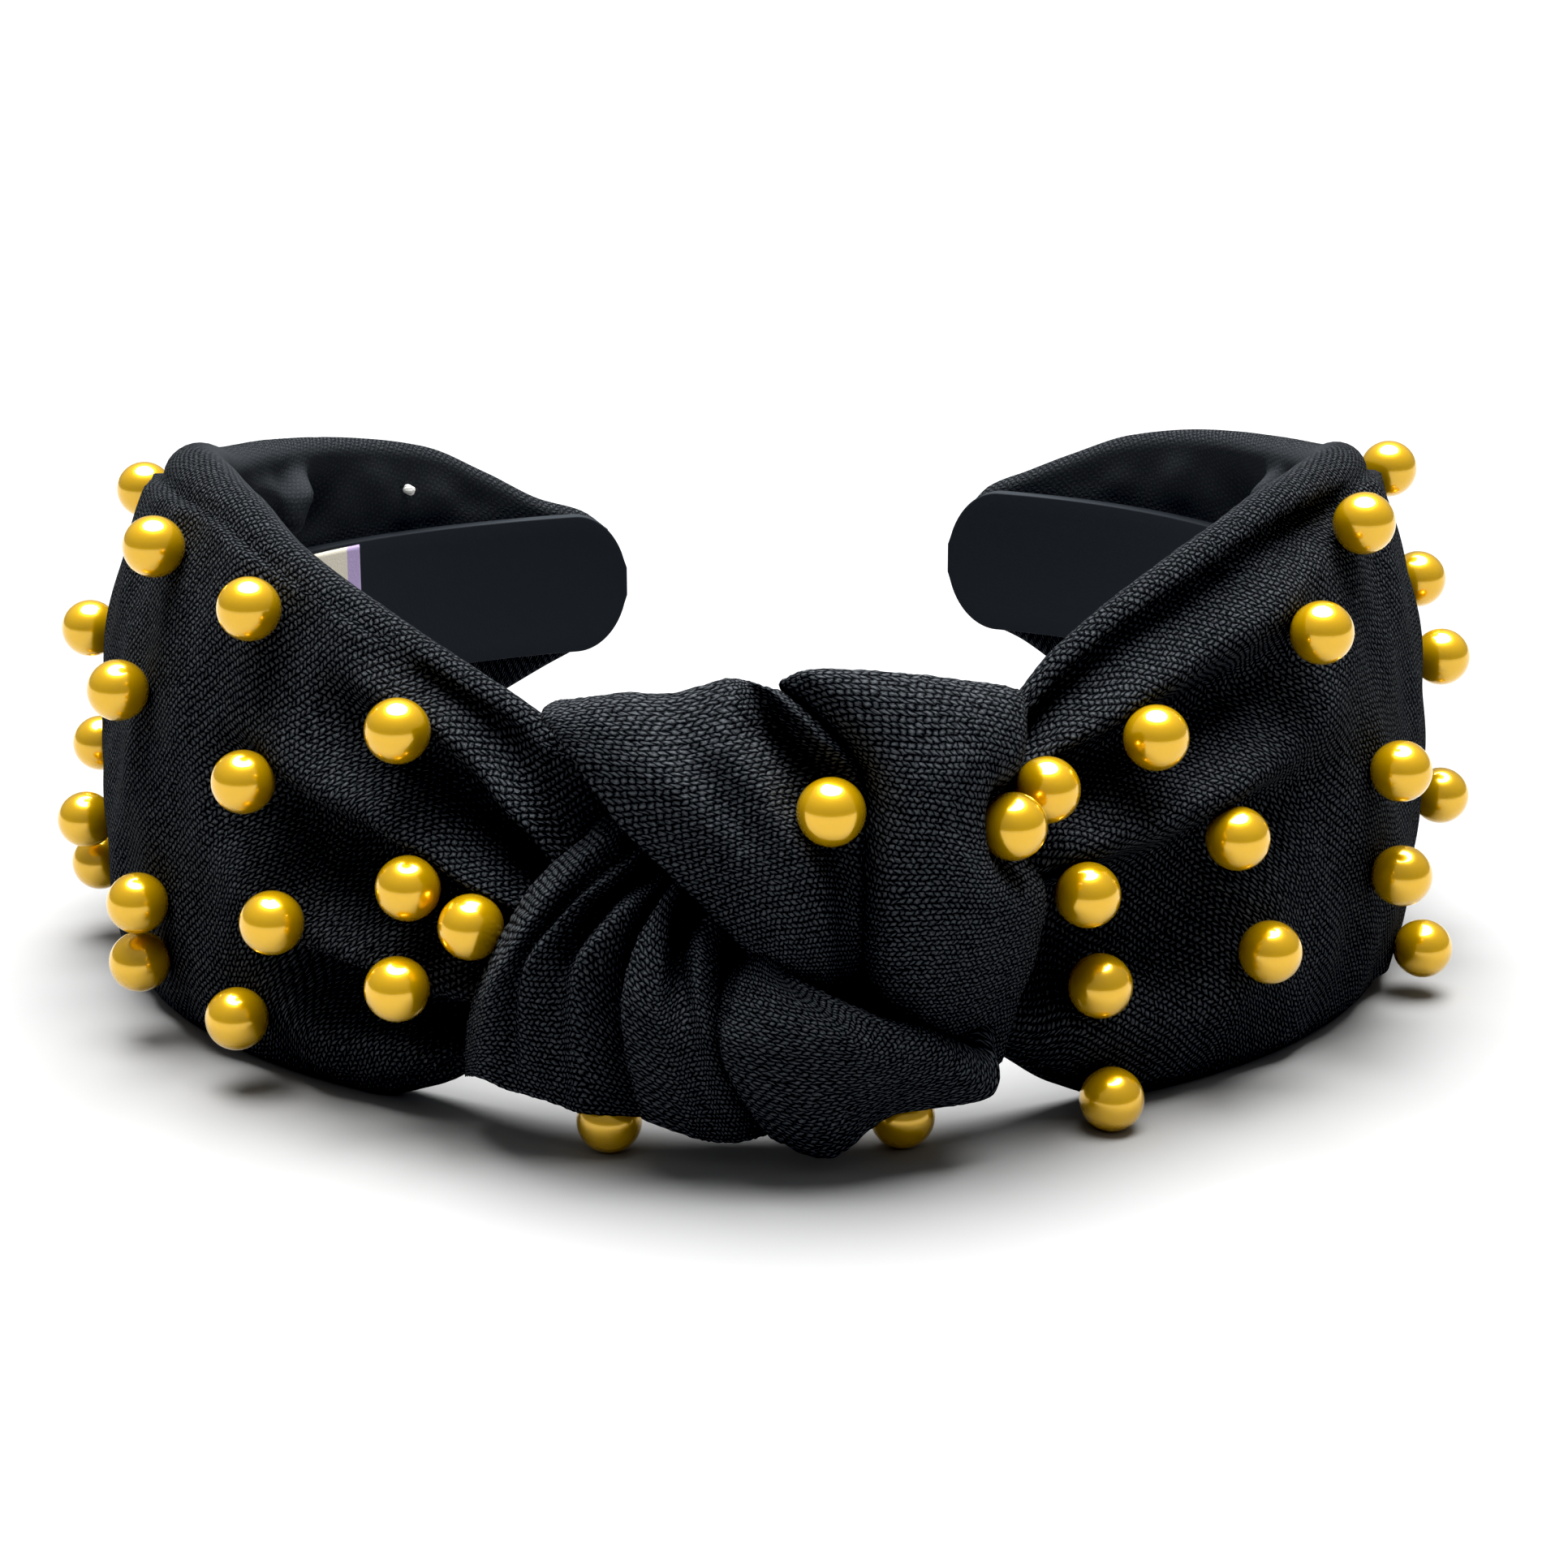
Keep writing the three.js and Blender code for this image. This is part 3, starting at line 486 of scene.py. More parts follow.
# Each fold's rise (a valley is below zero), how far it hangs down, and its line over the face as pairs of
# angle and height. Between the lines the cloth swings from one to the next, and each dies away along its
# last stretch.
LEFT_FOLDS = {
    "hem crease": (-2.8, 0, [(13, 31), (16.3, 37.3), (18.7, 41.1), (22.9, 46.6), (33, 52.5)]),
    "second roll": (1, 0, [(13, 28.8), (16.3, 34.2), (21, 40.8), (25, 44.6), (36, 50)]),
    "upper valley": (-7, 0, [(13, 26.6), (17, 30.4), (22, 35), (26, 39.4), (38, 45)]),
    "upper ridge": (2.2, 1, [(13, 24.6), (18.9, 28.6), (24, 32), (28.5, 34.8), (33, 36.8), (46, 41)]),
    "middle valley": (-7.4, 0, [(13, 20.8), (22.2, 25), (29.7, 27.8), (34.2, 29), (40, 30.6), (51, 33.5)]),
    "overhang": (2.4, 2.6, [(13, 18.4), (21.7, 18.8), (29.7, 20.8), (36, 21.8), (48, 24)]),
    "under valley": (-6.8, 0, [(13, 13.6), (22.5, 11.8), (28, 13.2), (34, 15), (45, 17)]),
    "lower roll": (1.4, 0, [(13, 10.8), (22.5, 7.4), (33, 7), (48, 8)]),
}
RIGHT_FOLDS = {
    "hem groove": (-4, 0, [(13, 37.5), (21.6, 41.6), (24.6, 46.2), (30.8, 52.2), (38, 56.2), (48, 59.8),
                           (58, 61.6), (76, 62.6)]),
    "second roll": (1.6, 0.5, [(13, 36.6), (21.6, 40.2), (25, 43.4), (32, 48), (41, 51.8), (58, 57)]),
    "upper valley": (-6.6, 0, [(13, 35.2), (20, 37.4), (24, 38.6), (31.4, 40.4), (38, 42.4), (56, 48)]),
    "upper ridge": (2.6, 2.2, [(13, 32), (22.4, 33.6), (31.3, 35.8), (42.5, 39.2), (60, 43.5)]),
    "middle valley": (-6.2, 0, [(13, 23), (25.8, 24.6), (32.6, 26), (38.7, 28), (56, 33)]),
    "valley floor": (-4.6, 0, [(13, 18), (25.8, 17.6), (35.6, 18), (50, 22)]),
    "lower ridge": (1.6, 0.6, [(13, 14), (24, 12), (35.6, 10.6), (52, 11)]),
}
# Creases of the flap inside: half width, how far out they reach (inwards is below zero), and their line
LEFT_FLAP = {
    "rib": (4.4, -5.2, [(119, 60), (116.4, 55), (113.4, 48.5), (112, 43)]),
    "hollow": (5, 1.8, [(124, 60), (122, 55), (119, 48.5), (117, 43)]),
    "slant": (3, -2.4, [(84, 63), (95.6, 60.1), (106.5, 55), (113, 51)]),
}
RIGHT_FLAP = {
    "crease": (4.5, 1.8, [(125, 62), (120, 56.5), (115, 51.3), (111, 46)]),
    "crest": (4.2, -5.2, [(105, 63), (107.3, 58.4), (109.6, 54.3), (112, 46)]),
    "curl": (2.6, -2.4, [(97, 64), (96.2, 59.4), (95.6, 55), (95, 46)]),
}
# Soft waves that no pull makes: how far out, and their lengths along the band and up it
SOFT_WAVES = [(0.34, 31, 47), (0.22, -17, 29), (0.13, 9.5, 21)]


def smooth_curve(known, value, at):
    """A smooth curve through known values, with no overshoot between them."""
    known = np.asarray(known, float)
    value = np.asarray(value, float)
    slope = np.diff(value) / np.diff(known)
    before = np.concatenate((slope[:1], slope))
    after = np.concatenate((slope, slope[-1:]))
    same_way = before * after > 0
    tangent = np.where(same_way, 2 * before * after / np.where(same_way, before + after, 1), 0)
    i = np.clip(np.searchsorted(known, at, side="right") - 1, 0, len(known) - 2)
    span = known[i + 1] - known[i]
    u = (at - known[i]) / span
    start = (2 * u**3 - 3 * u**2 + 1) * value[i] + (u**3 - 2 * u**2 + u) * span * tangent[i]
    end = (3 * u**2 - 2 * u**3) * value[i + 1] + (u**3 - u**2) * span * tangent[i + 1]
    return start + end


def column(sections, key, at):
    return smooth_curve([row[0] for row in sections], [row[SECTION.index(key)] for row in sections], at)


def fold_swing(folds, section, at, z):
    """How far out the folds move the face at each place, and how far they let it hang."""
    low, high = section["low"][:, 0], section["high"][:, 0]
    levels = [low]
    rises = [np.zeros_like(low)]
    hangs = [np.zeros_like(low)]
    for rise, hang, line in reversed(list(folds.values())):
        angles, heights = np.array(line, float).T
        fade = 1 - smooth_step(angles[-2], angles[-1], at[:, 0])
        levels.append(np.interp(at[:, 0], angles, heights))
        rises.append(rise * fade)
        hangs.append(hang * fade)
    levels = np.clip(np.array([*levels, high]), low, high)
    levels = levels + np.arange(len(levels))[:, None] * LEVEL_STEP
    rises = np.array([*rises, np.zeros_like(low)])
    hangs = np.array([*hangs, np.zeros_like(low)])
    out = [smooth_curve(levels[:, i], rises[:, i], z[i]) for i in range(len(low))]
    down = [smooth_curve(levels[:, i], hangs[:, i], z[i]) for i in range(len(low))]
    return np.array(out), np.array(down)


def crease_strength(line, width, at, z):
    """How strong a crease is at a place: 1 on its line, less beside it and along its last stretch."""
    points = np.array(line, float) * (MM_PER_DEGREE, 1)
    nearest = np.full(z.shape, np.inf)
    along = np.zeros(z.shape)
    for k, (start, end) in enumerate(zip(points[:-1], points[1:])):
        run = end - start
        from_start = (at * MM_PER_DEGREE - start[0], z - start[1])
        share = np.clip((from_start[0] * run[0] + from_start[1] * run[1]) / (run @ run), 0, 1)
        distance = np.hypot(from_start[0] - share * run[0], from_start[1] - share * run[1])
        closer = distance < nearest
        nearest = np.where(closer, distance, nearest)
        along = np.where(closer, (k + share) / (len(points) - 1), along)
    return np.exp(-((nearest / width) ** 2)) * (1 - smooth_step(CREASE_TAIL, 1, along))


def soft_waves(at, z):
    along = at * MM_PER_DEGREE
    return sum(out * np.sin(2 * np.pi * (along / length + z / tall)) for out, length, tall in SOFT_WAVES)


def tube_face(section, folds, at, z):
    """How far the face stands out at an angle and height, and how far it hangs down there."""
    low, high, puff, lean, roll, brim = (section[key] for key in SECTION[1:])
    level = np.clip((2 * z - low - high) / (high - low), -1, 1)
    low_edge = GAP + 2 * roll
    high_edge = GAP + 2 * brim - lean
    edge = low_edge + (high_edge - low_edge) * (level + 1) / 2
    crown = (puff - (low_edge + high_edge) / 2) * (1 - np.abs(level) ** CROWN_POWER)
    fade = smooth_step(0, FOLD_FADE, np.minimum(high - z, z - low))
    least = LEAST_FACE - lean * smooth_step(LEAN_LEVEL, 1, level)
    rise, hang = fold_swing(folds, section, at, z)
    rise = rise + soft_waves(at, z)
    return np.maximum(edge + crown + rise * fade, least), hang * fade


def tube_path(side, sections, folds, creases, at):
    """Cross sections from the upper lip to the lower lip: distances out, heights and the crown's index."""
    section = {key: column(sections, key, at) for key in SECTION[1:]}
    mid = hoop_mid(side, at)
    hoop_top = mid + STRIP_WIDTH / 2
    top = section["high"] - section["brim"]
    foot = section["low"] + section["roll"]
    turn = np.linspace(0, math.pi, TURN_POINTS)[None, :]
    share = np.linspace(0, 1, SPAN_POINTS)[None, :]
    flap_z = mid + LIP_TUCK + (top - mid - LIP_TUCK) * share
    reach = np.maximum(top - hoop_top - LEAN_START, LEAST_REACH)
    flap_out = GAP - section["lean"] * np.clip((flap_z - hoop_top - LEAN_START) / reach, 0, 1)
    flap_rise = soft_waves(at, flap_z) * FLAP_WAVES
    for width, out, line in creases.values():
        flap_rise = flap_rise + out * crease_strength(line, width, at, flap_z)
    free = smooth_step(0, FLAP_FREE, flap_z - hoop_top) * smooth_step(0, FLAP_FREE, top - flap_z)
    flap_out = flap_out + flap_rise * free
    top_out = GAP - section["lean"] + section["brim"] * (1 - np.cos(turn))
    top_z = top + section["brim"] * np.sin(turn)
    face_z = top + (foot - top) * share
    face_out, hang = tube_face(section, folds, at, face_z)
    low_out = GAP + section["roll"] * (1 + np.cos(turn))
    low_z = foot - section["roll"] * np.sin(turn)
    lip_z = foot + (mid - LIP_TUCK - foot) * share
    lip_out = np.full(lip_z.shape, GAP)
    out = np.concatenate((flap_out, top_out, face_out, low_out, lip_out), axis=1)
    z = np.concatenate((flap_z, top_z, face_z - hang, low_z, lip_z), axis=1)
    crown = flap_z.shape[1] + turn.shape[1] // 2
    return out, z, crown


def band_cloth(name, side, sections, folds, creases):
    spread = np.linspace(0, 1, BAND_COLUMNS) ** BAND_CROWDING
    at = (sections[0][0] + (sections[-1][0] - sections[0][0]) * spread)[:, None]
    out, z, crown = tube_path(side, sections, folds, creases, at)
    to_end = (sections[-1][0] - at) * MM_PER_DEGREE
    out = GAP + (out - GAP) * np.sqrt(1 - np.clip(1 - to_end / END_ROUND, 0, END_CAP) ** 2)
    steps = np.hypot(np.diff(out, axis=1), np.diff(z, axis=1))
    run = np.concatenate((np.zeros_like(at), np.cumsum(steps, axis=1)), axis=1)
    rows = []
    for i in range(BAND_COLUMNS):
        even = np.linspace(0, run[i, -1], BAND_ROWS)
        rows.append((np.interp(even, run[i], out[i]), np.interp(even, run[i], z[i]), even - run[i, crown]))
    out, z, down = (np.array(values) for values in zip(*rows))
    points = on_loop(side, at, out, z).reshape(-1, 3)
    flat = np.stack(np.broadcast_arrays(at * MM_PER_DEGREE, down), axis=-1).reshape(-1, 2) * MM
    grid = np.arange(BAND_COLUMNS * BAND_ROWS).reshape(BAND_COLUMNS, BAND_ROWS)
    corners = [grid[:-1, :-1], grid[1:, :-1], grid[1:, 1:], grid[:-1, 1:]]
    quads = np.stack(corners if side < 0 else corners[::-1], -1).reshape(-1, 4)
    piece = mesh_piece(name, points, quads, flat)
    apply_modifier(piece, "SOLIDIFY", thickness=CLOTH * MM, offset=-1)
    length = (sections[-1][0] - sections[0][0]) * MM_PER_DEGREE * MM
    return piece, (float(run[:, -1].mean()) * MM, length)


def knit_material(name, stitch_size, bias, relief_depth):
    """Black crepe knit of crumpled stitches that lean to and fro in staggered rows, smoother inside; light
    and shade are painted on each stitch.
    """
    material, principled, shade = new_material(name, KNIT_FINISH)
    place = shade.node("ShaderNodeTexCoord", {}, output="Object")
    flat = shade.node("ShaderNodeUVMap", {}, uv_map="cloth")
    along_band = shade.node("ShaderNodeSeparateXYZ", {0: flat}, output=0)
    from_hem = shade.node("ShaderNodeSeparateXYZ", {0: flat}, output=1)
    across = (along_band * math.cos(bias) + from_hem * math.sin(bias)) / (stitch_size[0] * MM)
    down = (from_hem * math.cos(bias) - along_band * math.sin(bias)) / (stitch_size[1] * MM)
    cells = shade.node("ShaderNodeCombineXYZ", {0: across, 1: down})
    crumple = shade.node("ShaderNodeTexNoise", {"Vector": cells, **CRUMPLE_NOISE}, output=1)
    across = across + shade.node("ShaderNodeSeparateXYZ", {0: crumple}, output=0) * STITCH_CRUMPLE
    down = down + shade.node("ShaderNodeSeparateXYZ", {0: crumple}, output=1) * STITCH_CRUMPLE
    row = down.math("FLOOR", down)
    odd_row = row.math("PINGPONG", row, 1)
    in_stitch = down.math("FRACT", down) * 2 - 1
    stagger = across + odd_row * STITCH_STAGGER + (odd_row - 0.5) * in_stitch * STITCH_LEAN
    in_row = stagger.math("FRACT", stagger) * 2 - 1
    bump = (1 - in_row * in_row) * (1 - in_stitch * in_stitch)
    stitch = bump ** STITCH_SHARPNESS
    slanted = shade.node("ShaderNodeCombineXYZ", {0: across + down, 1: (down - across) * STRAND_STRETCH})
    strands = shade.node("ShaderNodeTexNoise", {"Vector": slanted, **STRAND_NOISE})
    fibres = shade.node("ShaderNodeTexNoise", {"Vector": place, **FIBRE_NOISE})
    # Each stitch's colour is painted light at its top and painted shade towards the gaps, varied by the
    # strands and fibres
    strand_light = strands * STRAND_LIGHT[0] + STRAND_LIGHT[1]
    painted_stitch_light = stitch * strand_light * (fibres * FIBRE_LIGHT[0] + FIBRE_LIGHT[1])
    past_hem = from_hem * (-1 / (WRONG_SIDE_FROM * MM))
    past_hem = past_hem.math("MAXIMUM", past_hem, 0)
    wrong_side = past_hem.math("MINIMUM", past_hem, 1) * WRONG_SIDE_SMOOTH
    lightness = painted_stitch_light + (WRONG_SIDE_LIGHT - painted_stitch_light) * wrong_side
    shade.feed(principled.inputs["Base Color"], lightness.mix(KNIT_PAINTED_SHADE, KNIT_PAINTED_LIGHT))
    strand_height = strands * STRAND_HEIGHT[0] + STRAND_HEIGHT[1]
    height = stitch * strand_height * relief_depth * (1 - wrong_side) + fibres * FIBRE_HEIGHT
    relief = shade.node("ShaderNodeBump", {"Height": height, **KNIT_BUMP})
    shade.feed(principled.inputs["Normal"], relief)
    return material


band_knit = knit_material("band knit", BAND_STITCH, BAND_BIAS, BAND_RELIEF)
left_cloth, left_flat = band_cloth("band_cloth_left", -1, LEFT_SECTIONS, LEFT_FOLDS, LEFT_FLAP)
settle(left_cloth, "band_cloth_left", band_knit)
right_cloth, right_flat = band_cloth("band_cloth_right", 1, RIGHT_SECTIONS, RIGHT_FOLDS, RIGHT_FLAP)
settle(right_cloth, "band_cloth_right", band_knit)

# Knot
# Three doubled straps of the same knit: one laid over from the upper left, a soft loop beside it on the
# right, and a pleated end that is wrapped under them both. Each strap's edge is a soft fold.
STRAP_EDGE = 1.8
STRAP_STEP = 0.3
CURVE_STEPS = 40
CRUMPLE_DEPTH = 0.05
CRUMPLE_SEED = 7
KNOT_STITCH = (0.74, 0.6)
KNOT_BIAS = 0
KNOT_RELIEF = 0.15
# One row for each fold line of a strap, from its start at the back to its tuck: x, the distance in front of
# the loop's middle, and the height
OVER_STRAP = {
    "left edge": [(-19, 64.2, 41.8), (-19.5, 64, 46.5), (-20.5, 76, 48.5), (-17.5, 80, 45.8),
                  (-11.6, 82, 38), (-4.1, 82.5, 30.6), (0.9, 82, 24.6), (3.5, 79, 19.5), (4.5, 75, 11)],
    "face": [(-11.5, 64.4, 41.8), (-11.5, 64.6, 46.2), (-12.4, 77, 50.4), (-9.6, 82.8, 46),
             (-4.4, 85.8, 40.2), (1.2, 86.2, 33.6), (4.4, 84.5, 26), (5.8, 79.8, 19.5), (6.3, 75, 11)],
    "slack": [(-7.5, 64.4, 41.8), (-7.5, 64.8, 46.1), (-7, 76, 50.2), (-4.8, 82.4, 46.2), (-0.6, 85.2, 41),
              (4.4, 86, 34.2), (6.6, 84.2, 26), (7.4, 79.4, 19.3), (7.6, 75, 11)],
    "shoulder": [(-4, 64.4, 41.8), (-4, 65, 46), (-1.6, 77.4, 52.2), (-0.2, 83.4, 47.4), (3.2, 85, 42),
                 (7.6, 85.6, 34.8), (8.8, 83.4, 26), (9.2, 78.8, 19), (9.2, 75, 11)],
    "pearl valley": [(-1.5, 64.4, 41.8), (-1.5, 65, 46), (0.6, 76.4, 51.9), (4.4, 75.6, 46), (7.6, 78.8, 41),
                     (9.9, 81.2, 33.4), (10.4, 80, 25), (10.5, 77.3, 18.5), (10.5, 74.5, 11)],
    "roll": [(1.2, 64.4, 41.8), (1.2, 65, 46), (2.8, 77, 51.4), (8, 81.4, 47.4), (11.6, 80.6, 42.4),
             (12, 80.6, 32.4), (12, 79.5, 25), (12, 76.5, 18.5), (12, 74, 11)],
    "right edge": [(3.4, 64.4, 41.8), (3.4, 65, 45.8), (5, 74, 50), (11.5, 76, 45.5), (14.5, 75.5, 41),
                   (15, 75.5, 31), (15, 75, 25), (14.8, 74, 18.5), (14.5, 73, 11)],
}
SIDE_LOOP = {
    "left edge": [(4.4, 64.4, 41.8), (4.4, 65, 46), (3.6, 75.8, 51.4), (10.3, 79, 46), (12.2, 80, 41.5),
                  (12.4, 80, 30), (12.2, 78.5, 21.5), (13.5, 75, 14), (14.5, 71, 7)],
    "shoulder": [(6.5, 64.4, 41.8), (6.5, 65, 46.2), (7.1, 79, 53.6), (13.6, 83.8, 47), (15, 84.8, 40.6),
                 (15, 84.8, 31), (15, 81.5, 22), (16, 76, 14.5), (16.8, 71.5, 7)],
    "face": [(13, 64.3, 41.8), (13, 64.5, 46.2), (13.6, 79.5, 53.7), (19.2, 85, 47), (19.6, 86.5, 40.5),
             (20.5, 86.5, 31.8), (19.5, 82, 22.2), (19.2, 77, 14.5), (19, 71.5, 7)],
    "dent": [(20.5, 64, 41.8), (20.5, 64, 46), (21.7, 78, 52.5), (24.2, 83, 46.6), (24.4, 82.4, 38.2),
             (25.2, 84, 31), (24, 79.5, 22), (23, 75, 14.5), (22, 71, 7)],
    "side": [(26, 63.2, 41.8), (26, 63.5, 45.5), (28, 74, 50.4), (27.8, 79, 44.5), (23.4, 76, 37.4),
             (28.8, 79, 30.4), (28.2, 75.5, 22.2), (26.5, 72.5, 15), (25, 70.5, 7)],
    "right edge": [(27.5, 63.8, 41.8), (27.5, 64.5, 45), (28.2, 69.5, 47), (28.4, 70.5, 41.5),
                   (25.6, 70.5, 36.5), (31, 72.2, 29.6), (30.5, 70.6, 21.5), (28.5, 70.2, 15), (27, 69.8, 8)],
    "tuck": [(26.5, 62.4, 41.8), (26.5, 62.8, 43.6), (28, 64.2, 43), (28.6, 64.8, 39.4), (28, 65.6, 35),
             (29.4, 67.6, 28.8), (29, 67.4, 21.2), (27.4, 67.4, 15), (26, 67.2, 8.5)],
}
UNDER_WRAP = {
    "outline": [(-15.8, 75.5, 36), (-22.5, 74, 29), (-28.7, 71.5, 16), (-30, 69.5, 7)],
    "outer roll": [(-14, 79.5, 36.1), (-20.2, 81, 29.7), (-25.3, 80.5, 20.8), (-27.3, 76.5, 9.6)],
    "hem valley": [(-13.2, 77.6, 33.7), (-18.3, 79, 28.2), (-22.5, 79.8, 21.9), (-24.1, 76, 8.1)],
    "thin ridge": [(-11.2, 79.5, 33.8), (-17.2, 82, 29.2), (-21.9, 82, 21.6), (-22.1, 77, 8)],
    "hollow": [(-10.7, 75.5, 31.5), (-14.8, 77, 27.1), (-18.3, 80.5, 20.9), (-18.9, 77, 6.9)],
    "second ridge": [(-8.2, 80, 32), (-11.8, 83, 29.5), (-16, 83.5, 22.4), (-16.2, 77.5, 6.3)],
    "first groove": [(-7.9, 76.5, 28.6), (-10.4, 78, 22.3), (-11.1, 78.8, 15.5), (-9.6, 75.5, 5)],
    "pleat edge": [(-7.4, 81.5, 31.4), (-10.8, 84.5, 25.3), (-11.7, 85, 18.2), (-10.3, 79, 6.2)],
    "pleat face": [(-6.8, 81, 30.7), (-7.9, 86, 23.3), (-7.7, 86.5, 16.6), (-5.3, 79.5, 4.4)],
    "cavity": [(-5.7, 75.5, 27.4), (-6.1, 81, 23.3), (-4.8, 86, 17.3), (-2.8, 79.3, 3.9)],
    "third ridge": [(-3, 81, 28.4), (-3.9, 85, 24.7), (-3, 86.3, 17.5), (-0.3, 79, 3.8)],
    "second groove": [(0.2, 76.5, 23.8), (-0.4, 79, 19.2), (-0.2, 81.5, 14), (2.8, 77, 3.7)],
    "end edge": [(0.7, 81.5, 24.6), (-0.9, 85.5, 20.2), (-1.4, 86.3, 14.9), (3.1, 79.5, 4.2)],
    "end face": [(2, 83.5, 24.9), (4.1, 87.3, 19.4), (5.6, 86.8, 13.4), (9, 80.5, 2.6)],
    "end side": [(3.7, 84.5, 24), (10.6, 87, 18.5), (14.3, 85, 13.2), (15.6, 79.5, 6.7)],
    "shoulder": [(4.5, 84, 23.8), (11.8, 85.3, 20), (19.2, 82.5, 15.2), (25.2, 78, 8.3)],
    "upper edge": [(5, 82, 23.8), (14.3, 82, 18.5), (19.6, 79.8, 16.7), (26, 76.5, 12.7)],
}
# The point that each strap's back is drawn in towards, and by what share of the way
OVER_BACK = ((-12, 40, 22), 0.055)
LOOP_BACK = ((12, 62, 42), 0.12)
WRAP_BACK = ((-12, 62, 18), 0.09)
# The wrap's lines start hidden under the over strap and turn up behind the hem against the band
WRAP_START = [(7.5, -7.5, 5.5), (3.5, -4, 3.2)]
WRAP_END_AHEAD = 66
WRAP_TURN = (-2.4, 1.8)
WRAP_END_RISE = 5


def wrap_line(points):
    hidden = [tuple(np.add(points[0], shift)) for shift in WRAP_START]
    x, ahead, z = points[-1]
    behind = [(x, ahead + WRAP_TURN[0], z + WRAP_TURN[1]), (x, WRAP_END_AHEAD, z + WRAP_END_RISE)]
    return [*hidden, *points, *behind]


def curve_through(points, places):
    """Points on a smooth curve through the first axis of an array, at places counted in its rows."""
    ends = (2 * points[:1] - points[1:2], points, 2 * points[-1:] - points[-2:-1])
    known = np.concatenate(ends)
    i = np.clip(places.astype(int), 0, len(points) - 2)
    u = (places - i)[:, None, None]
    a, b, c, d = (known[i + k] for k in range(4))
    return b + (c - a) * u / 2 + (2 * a - 5 * b + 4 * c - d) * u**2 / 2 + (3 * b - a - 3 * c + d) * u**3 / 2


def even_curve(points):
    """Points a step apart, on average, along a smooth curve through the first axis, and their distances."""
    fine = np.linspace(0, len(points) - 1, CURVE_STEPS * len(points))
    steps = np.linalg.norm(np.diff(curve_through(points, fine), axis=0), axis=-1).mean(axis=1)
    run = np.concatenate(([0], np.cumsum(steps)))
    even = np.linspace(0, run[-1], int(run[-1] / STRAP_STEP) + 1)
    return curve_through(points, np.interp(even, run, fine)), even


def yarn_crumple(shape):
    """Small random heights, each smoothed over its neighbours."""
    heights = np.random.default_rng(CRUMPLE_SEED).normal(size=shape)
    for axis in (0, 1):
        heights = heights + np.roll(heights, 1, axis)
    return heights / 2


def knot_strap(name, folds, core, share):
    """A doubled strap through its fold lines, with its back drawn in towards a core and a fine crumple."""
    lines = np.array(list(folds.values()), float).swapaxes(0, 1)
    along, down = even_curve(lines)
    face, across = even_curve(along.swapaxes(0, 1))
    middle = np.array(core, float)
    back = face + (middle - face) * share
    normal = np.cross(np.gradient(face, axis=0), np.gradient(face, axis=1))
    normal /= np.linalg.norm(normal, axis=-1, keepdims=True)
    if (normal * (face - middle)).sum() < 0:
        normal = -normal
    points = rounded_sheet(face, back, STRAP_EDGE)
    rows, columns = face.shape[:2]
    points[:rows * columns] += (normal * yarn_crumple((rows, columns, 1)) * CRUMPLE_DEPTH).reshape(-1, 3)
    points = points * (MM, -MM, MM) + LOOP_MIDDLE
    flat = np.stack(np.broadcast_arrays(across[:, None], down[None, :]), axis=-1) * MM
    flat = np.concatenate((flat.reshape(-1, 2), flat[1:-1, 1:-1].reshape(-1, 2)))
    piece = mesh_piece(name, points, sheet_faces(rows, columns), flat)
    return piece, (float(across[-1]) * MM, float(down[-1]) * MM)


knot_knit = knit_material("knot knit", KNOT_STITCH, KNOT_BIAS, KNOT_RELIEF)
over_strap, over_flat = knot_strap("knot_over_strap", OVER_STRAP, *OVER_BACK)
settle(over_strap, "knot_over_strap", knot_knit)
side_loop, loop_flat = knot_strap("knot_side_loop", SIDE_LOOP, *LOOP_BACK)
settle(side_loop, "knot_side_loop", knot_knit)
wrap_folds = {fold: wrap_line(points) for fold, points in UNDER_WRAP.items()}
under_wrap, wrap_flat = knot_strap("knot_under_wrap", wrap_folds, *WRAP_BACK)
settle(under_wrap, "knot_under_wrap", knot_knit)

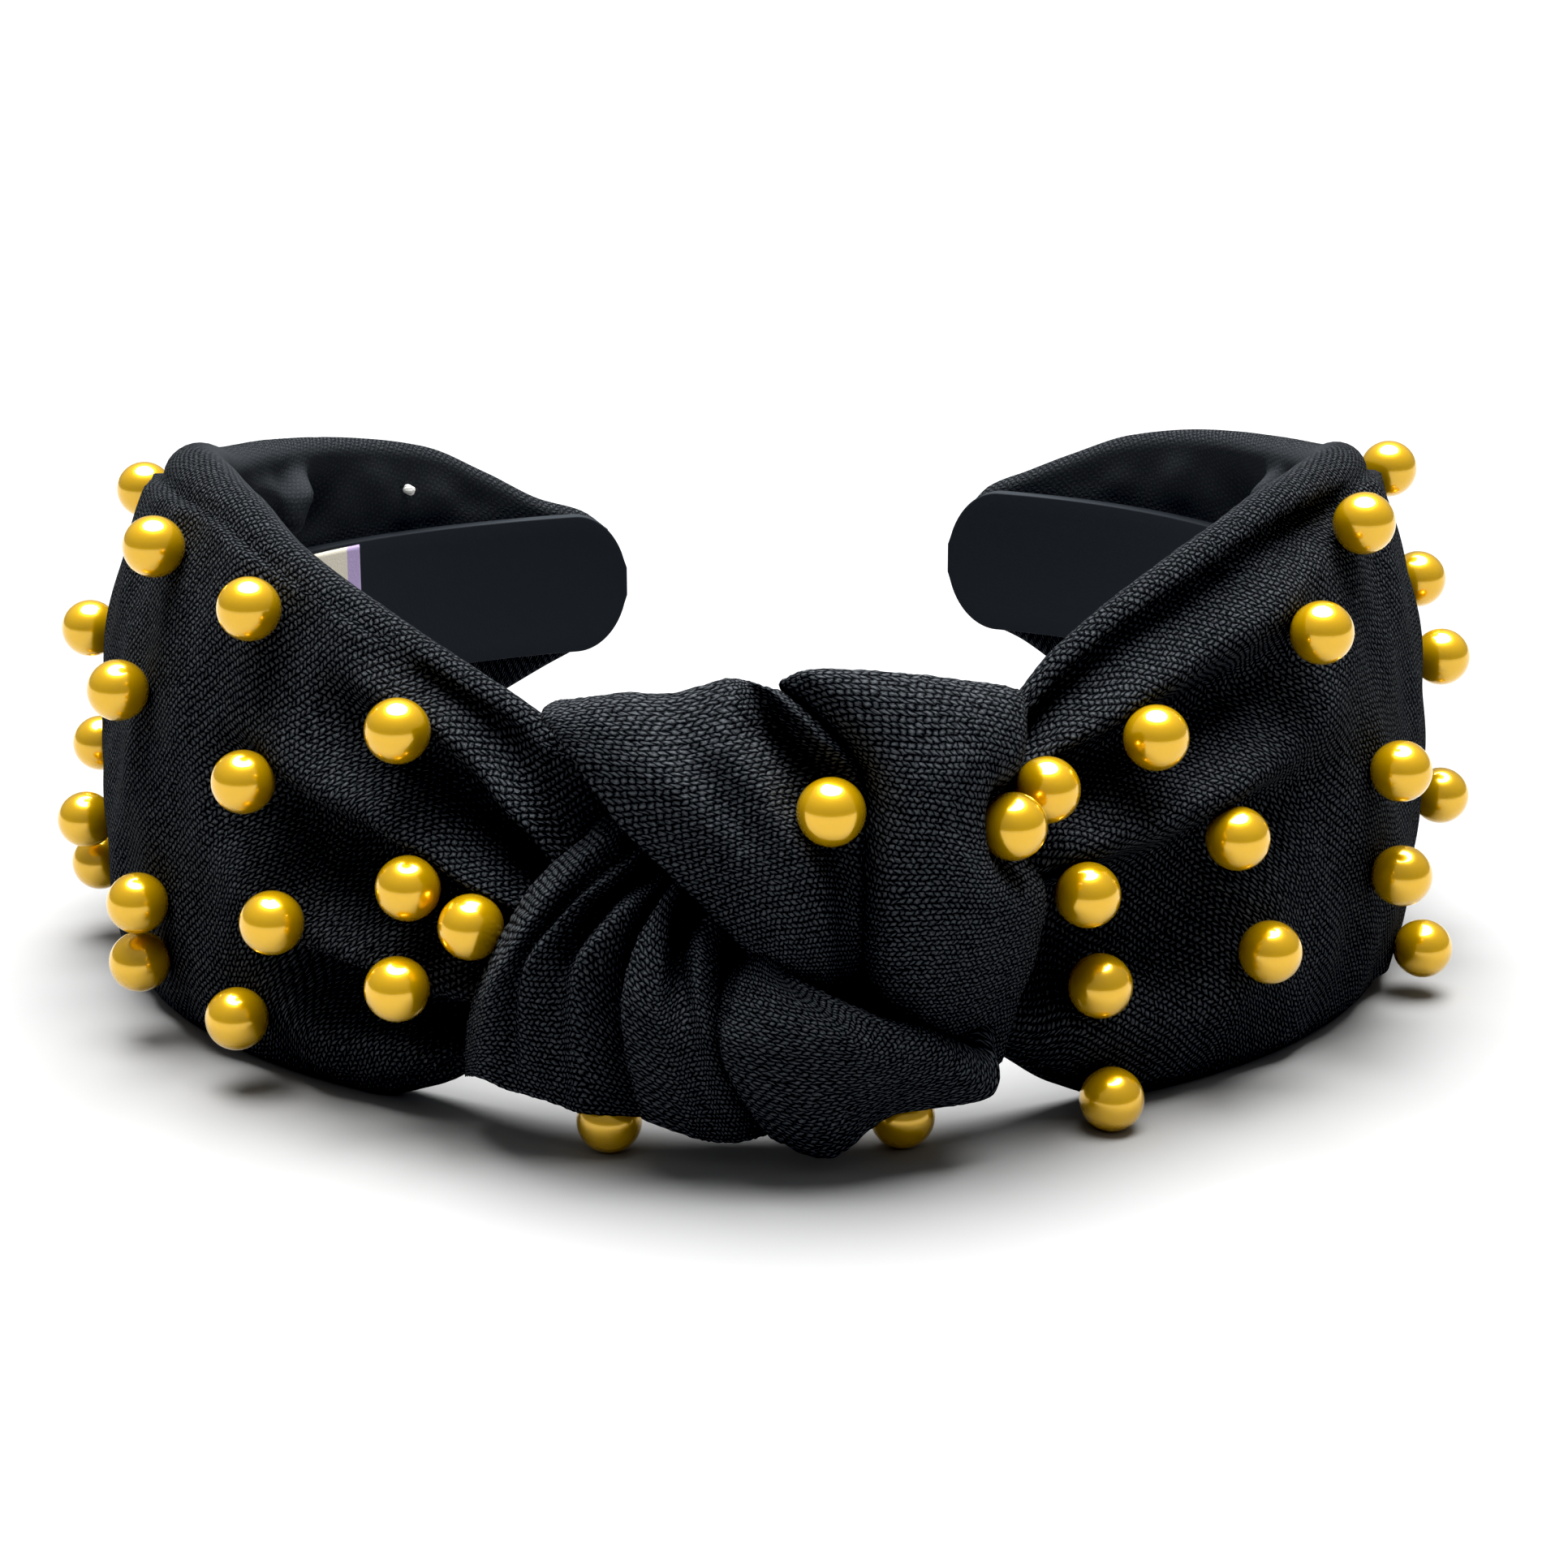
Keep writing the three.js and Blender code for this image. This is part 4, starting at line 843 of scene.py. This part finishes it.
# Pearls
# Plastic balls in a gold pearl lacquer, each with a small flat seat that is sewn down to the cloth. One is
# modelled, and a copy is set on the cloth beside each pearl of the frame. Those that lie on the table keep
# their height.
PEARL_RADIUS = 3.5
PEARL_SEGMENTS = (36, 20)
SEAT_SHARE = 0.95
SEAT_SINK = 0.15
SEAT_MOVE = 3
PEARL_GOLD = (0.83, 0.51, 0.008, 1)
PEARL_FINISH = {"Base Color": PEARL_GOLD, "Metallic": 0.6, "Roughness": 0.26, "Coat Weight": 1,
                "Coat Roughness": 0.06, "Coat IOR": 1.7}
PEARL_SMEARS = {"Scale": 520, "Detail": 2}
PEARL_RELIEF = {"Strength": 0.2, "Distance": 0.0001}

bpy.ops.object.select_all(action="DESELECT")
bpy.ops.mesh.primitive_uv_sphere_add(segments=PEARL_SEGMENTS[0], ring_count=PEARL_SEGMENTS[1],
                                     radius=PEARL_RADIUS * MM)
pearl = bpy.context.object
seat_level = -PEARL_RADIUS * MM * SEAT_SHARE
in_seat = np.array([vertex.co.z < seat_level for vertex in pearl.data.vertices])
edit_chosen(pearl, in_seat, bpy.ops.transform.resize, value=(1, 1, 0), center_override=(0, 0, seat_level))
bpy.ops.object.shade_smooth()
lacquer, lacquer_shader, shade = new_material("pearl lacquer", PEARL_FINISH)
place = shade.node("ShaderNodeTexCoord", {}, output="Object")
smears = shade.node("ShaderNodeTexNoise", {"Vector": place, **PEARL_SMEARS})
relief = shade.node("ShaderNodeBump", {"Height": smears, **PEARL_RELIEF})
shade.feed(lacquer_shader.inputs["Normal"], relief)

cloths = [left_cloth, right_cloth, over_strap, side_loop, under_wrap]
surfaces = [BVHTree.FromObject(cloth, bpy.context.evaluated_depsgraph_get()) for cloth in cloths]
pearl_nodes = sorted(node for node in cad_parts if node.startswith("pearl_"))
for node in pearl_nodes:
    low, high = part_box(node)
    middle = (Vector(low) + Vector(high)) / 2
    seat, _, _, distance = min((tree.find_nearest(middle) for tree in surfaces), key=lambda found: found[3])
    outward = (middle - seat).normalized()
    sink = min(distance - (PEARL_RADIUS - SEAT_SINK) * MM, SEAT_MOVE * MM)
    place = middle - outward * sink
    on_table = middle.z < (PEARL_RADIUS + SEAT_SINK) * MM
    place.z = middle.z if on_table else max(place.z, PEARL_RADIUS * MM)
    turn = outward.to_track_quat("Z", "Y").to_matrix().to_4x4()
    copy = bpy.data.objects.new(node, pearl.data.copy())
    copy.data.transform(Matrix.Translation(place) @ turn)
    bpy.context.collection.objects.link(copy)
    settle(copy, node, lacquer)
bpy.data.objects.remove(pearl)
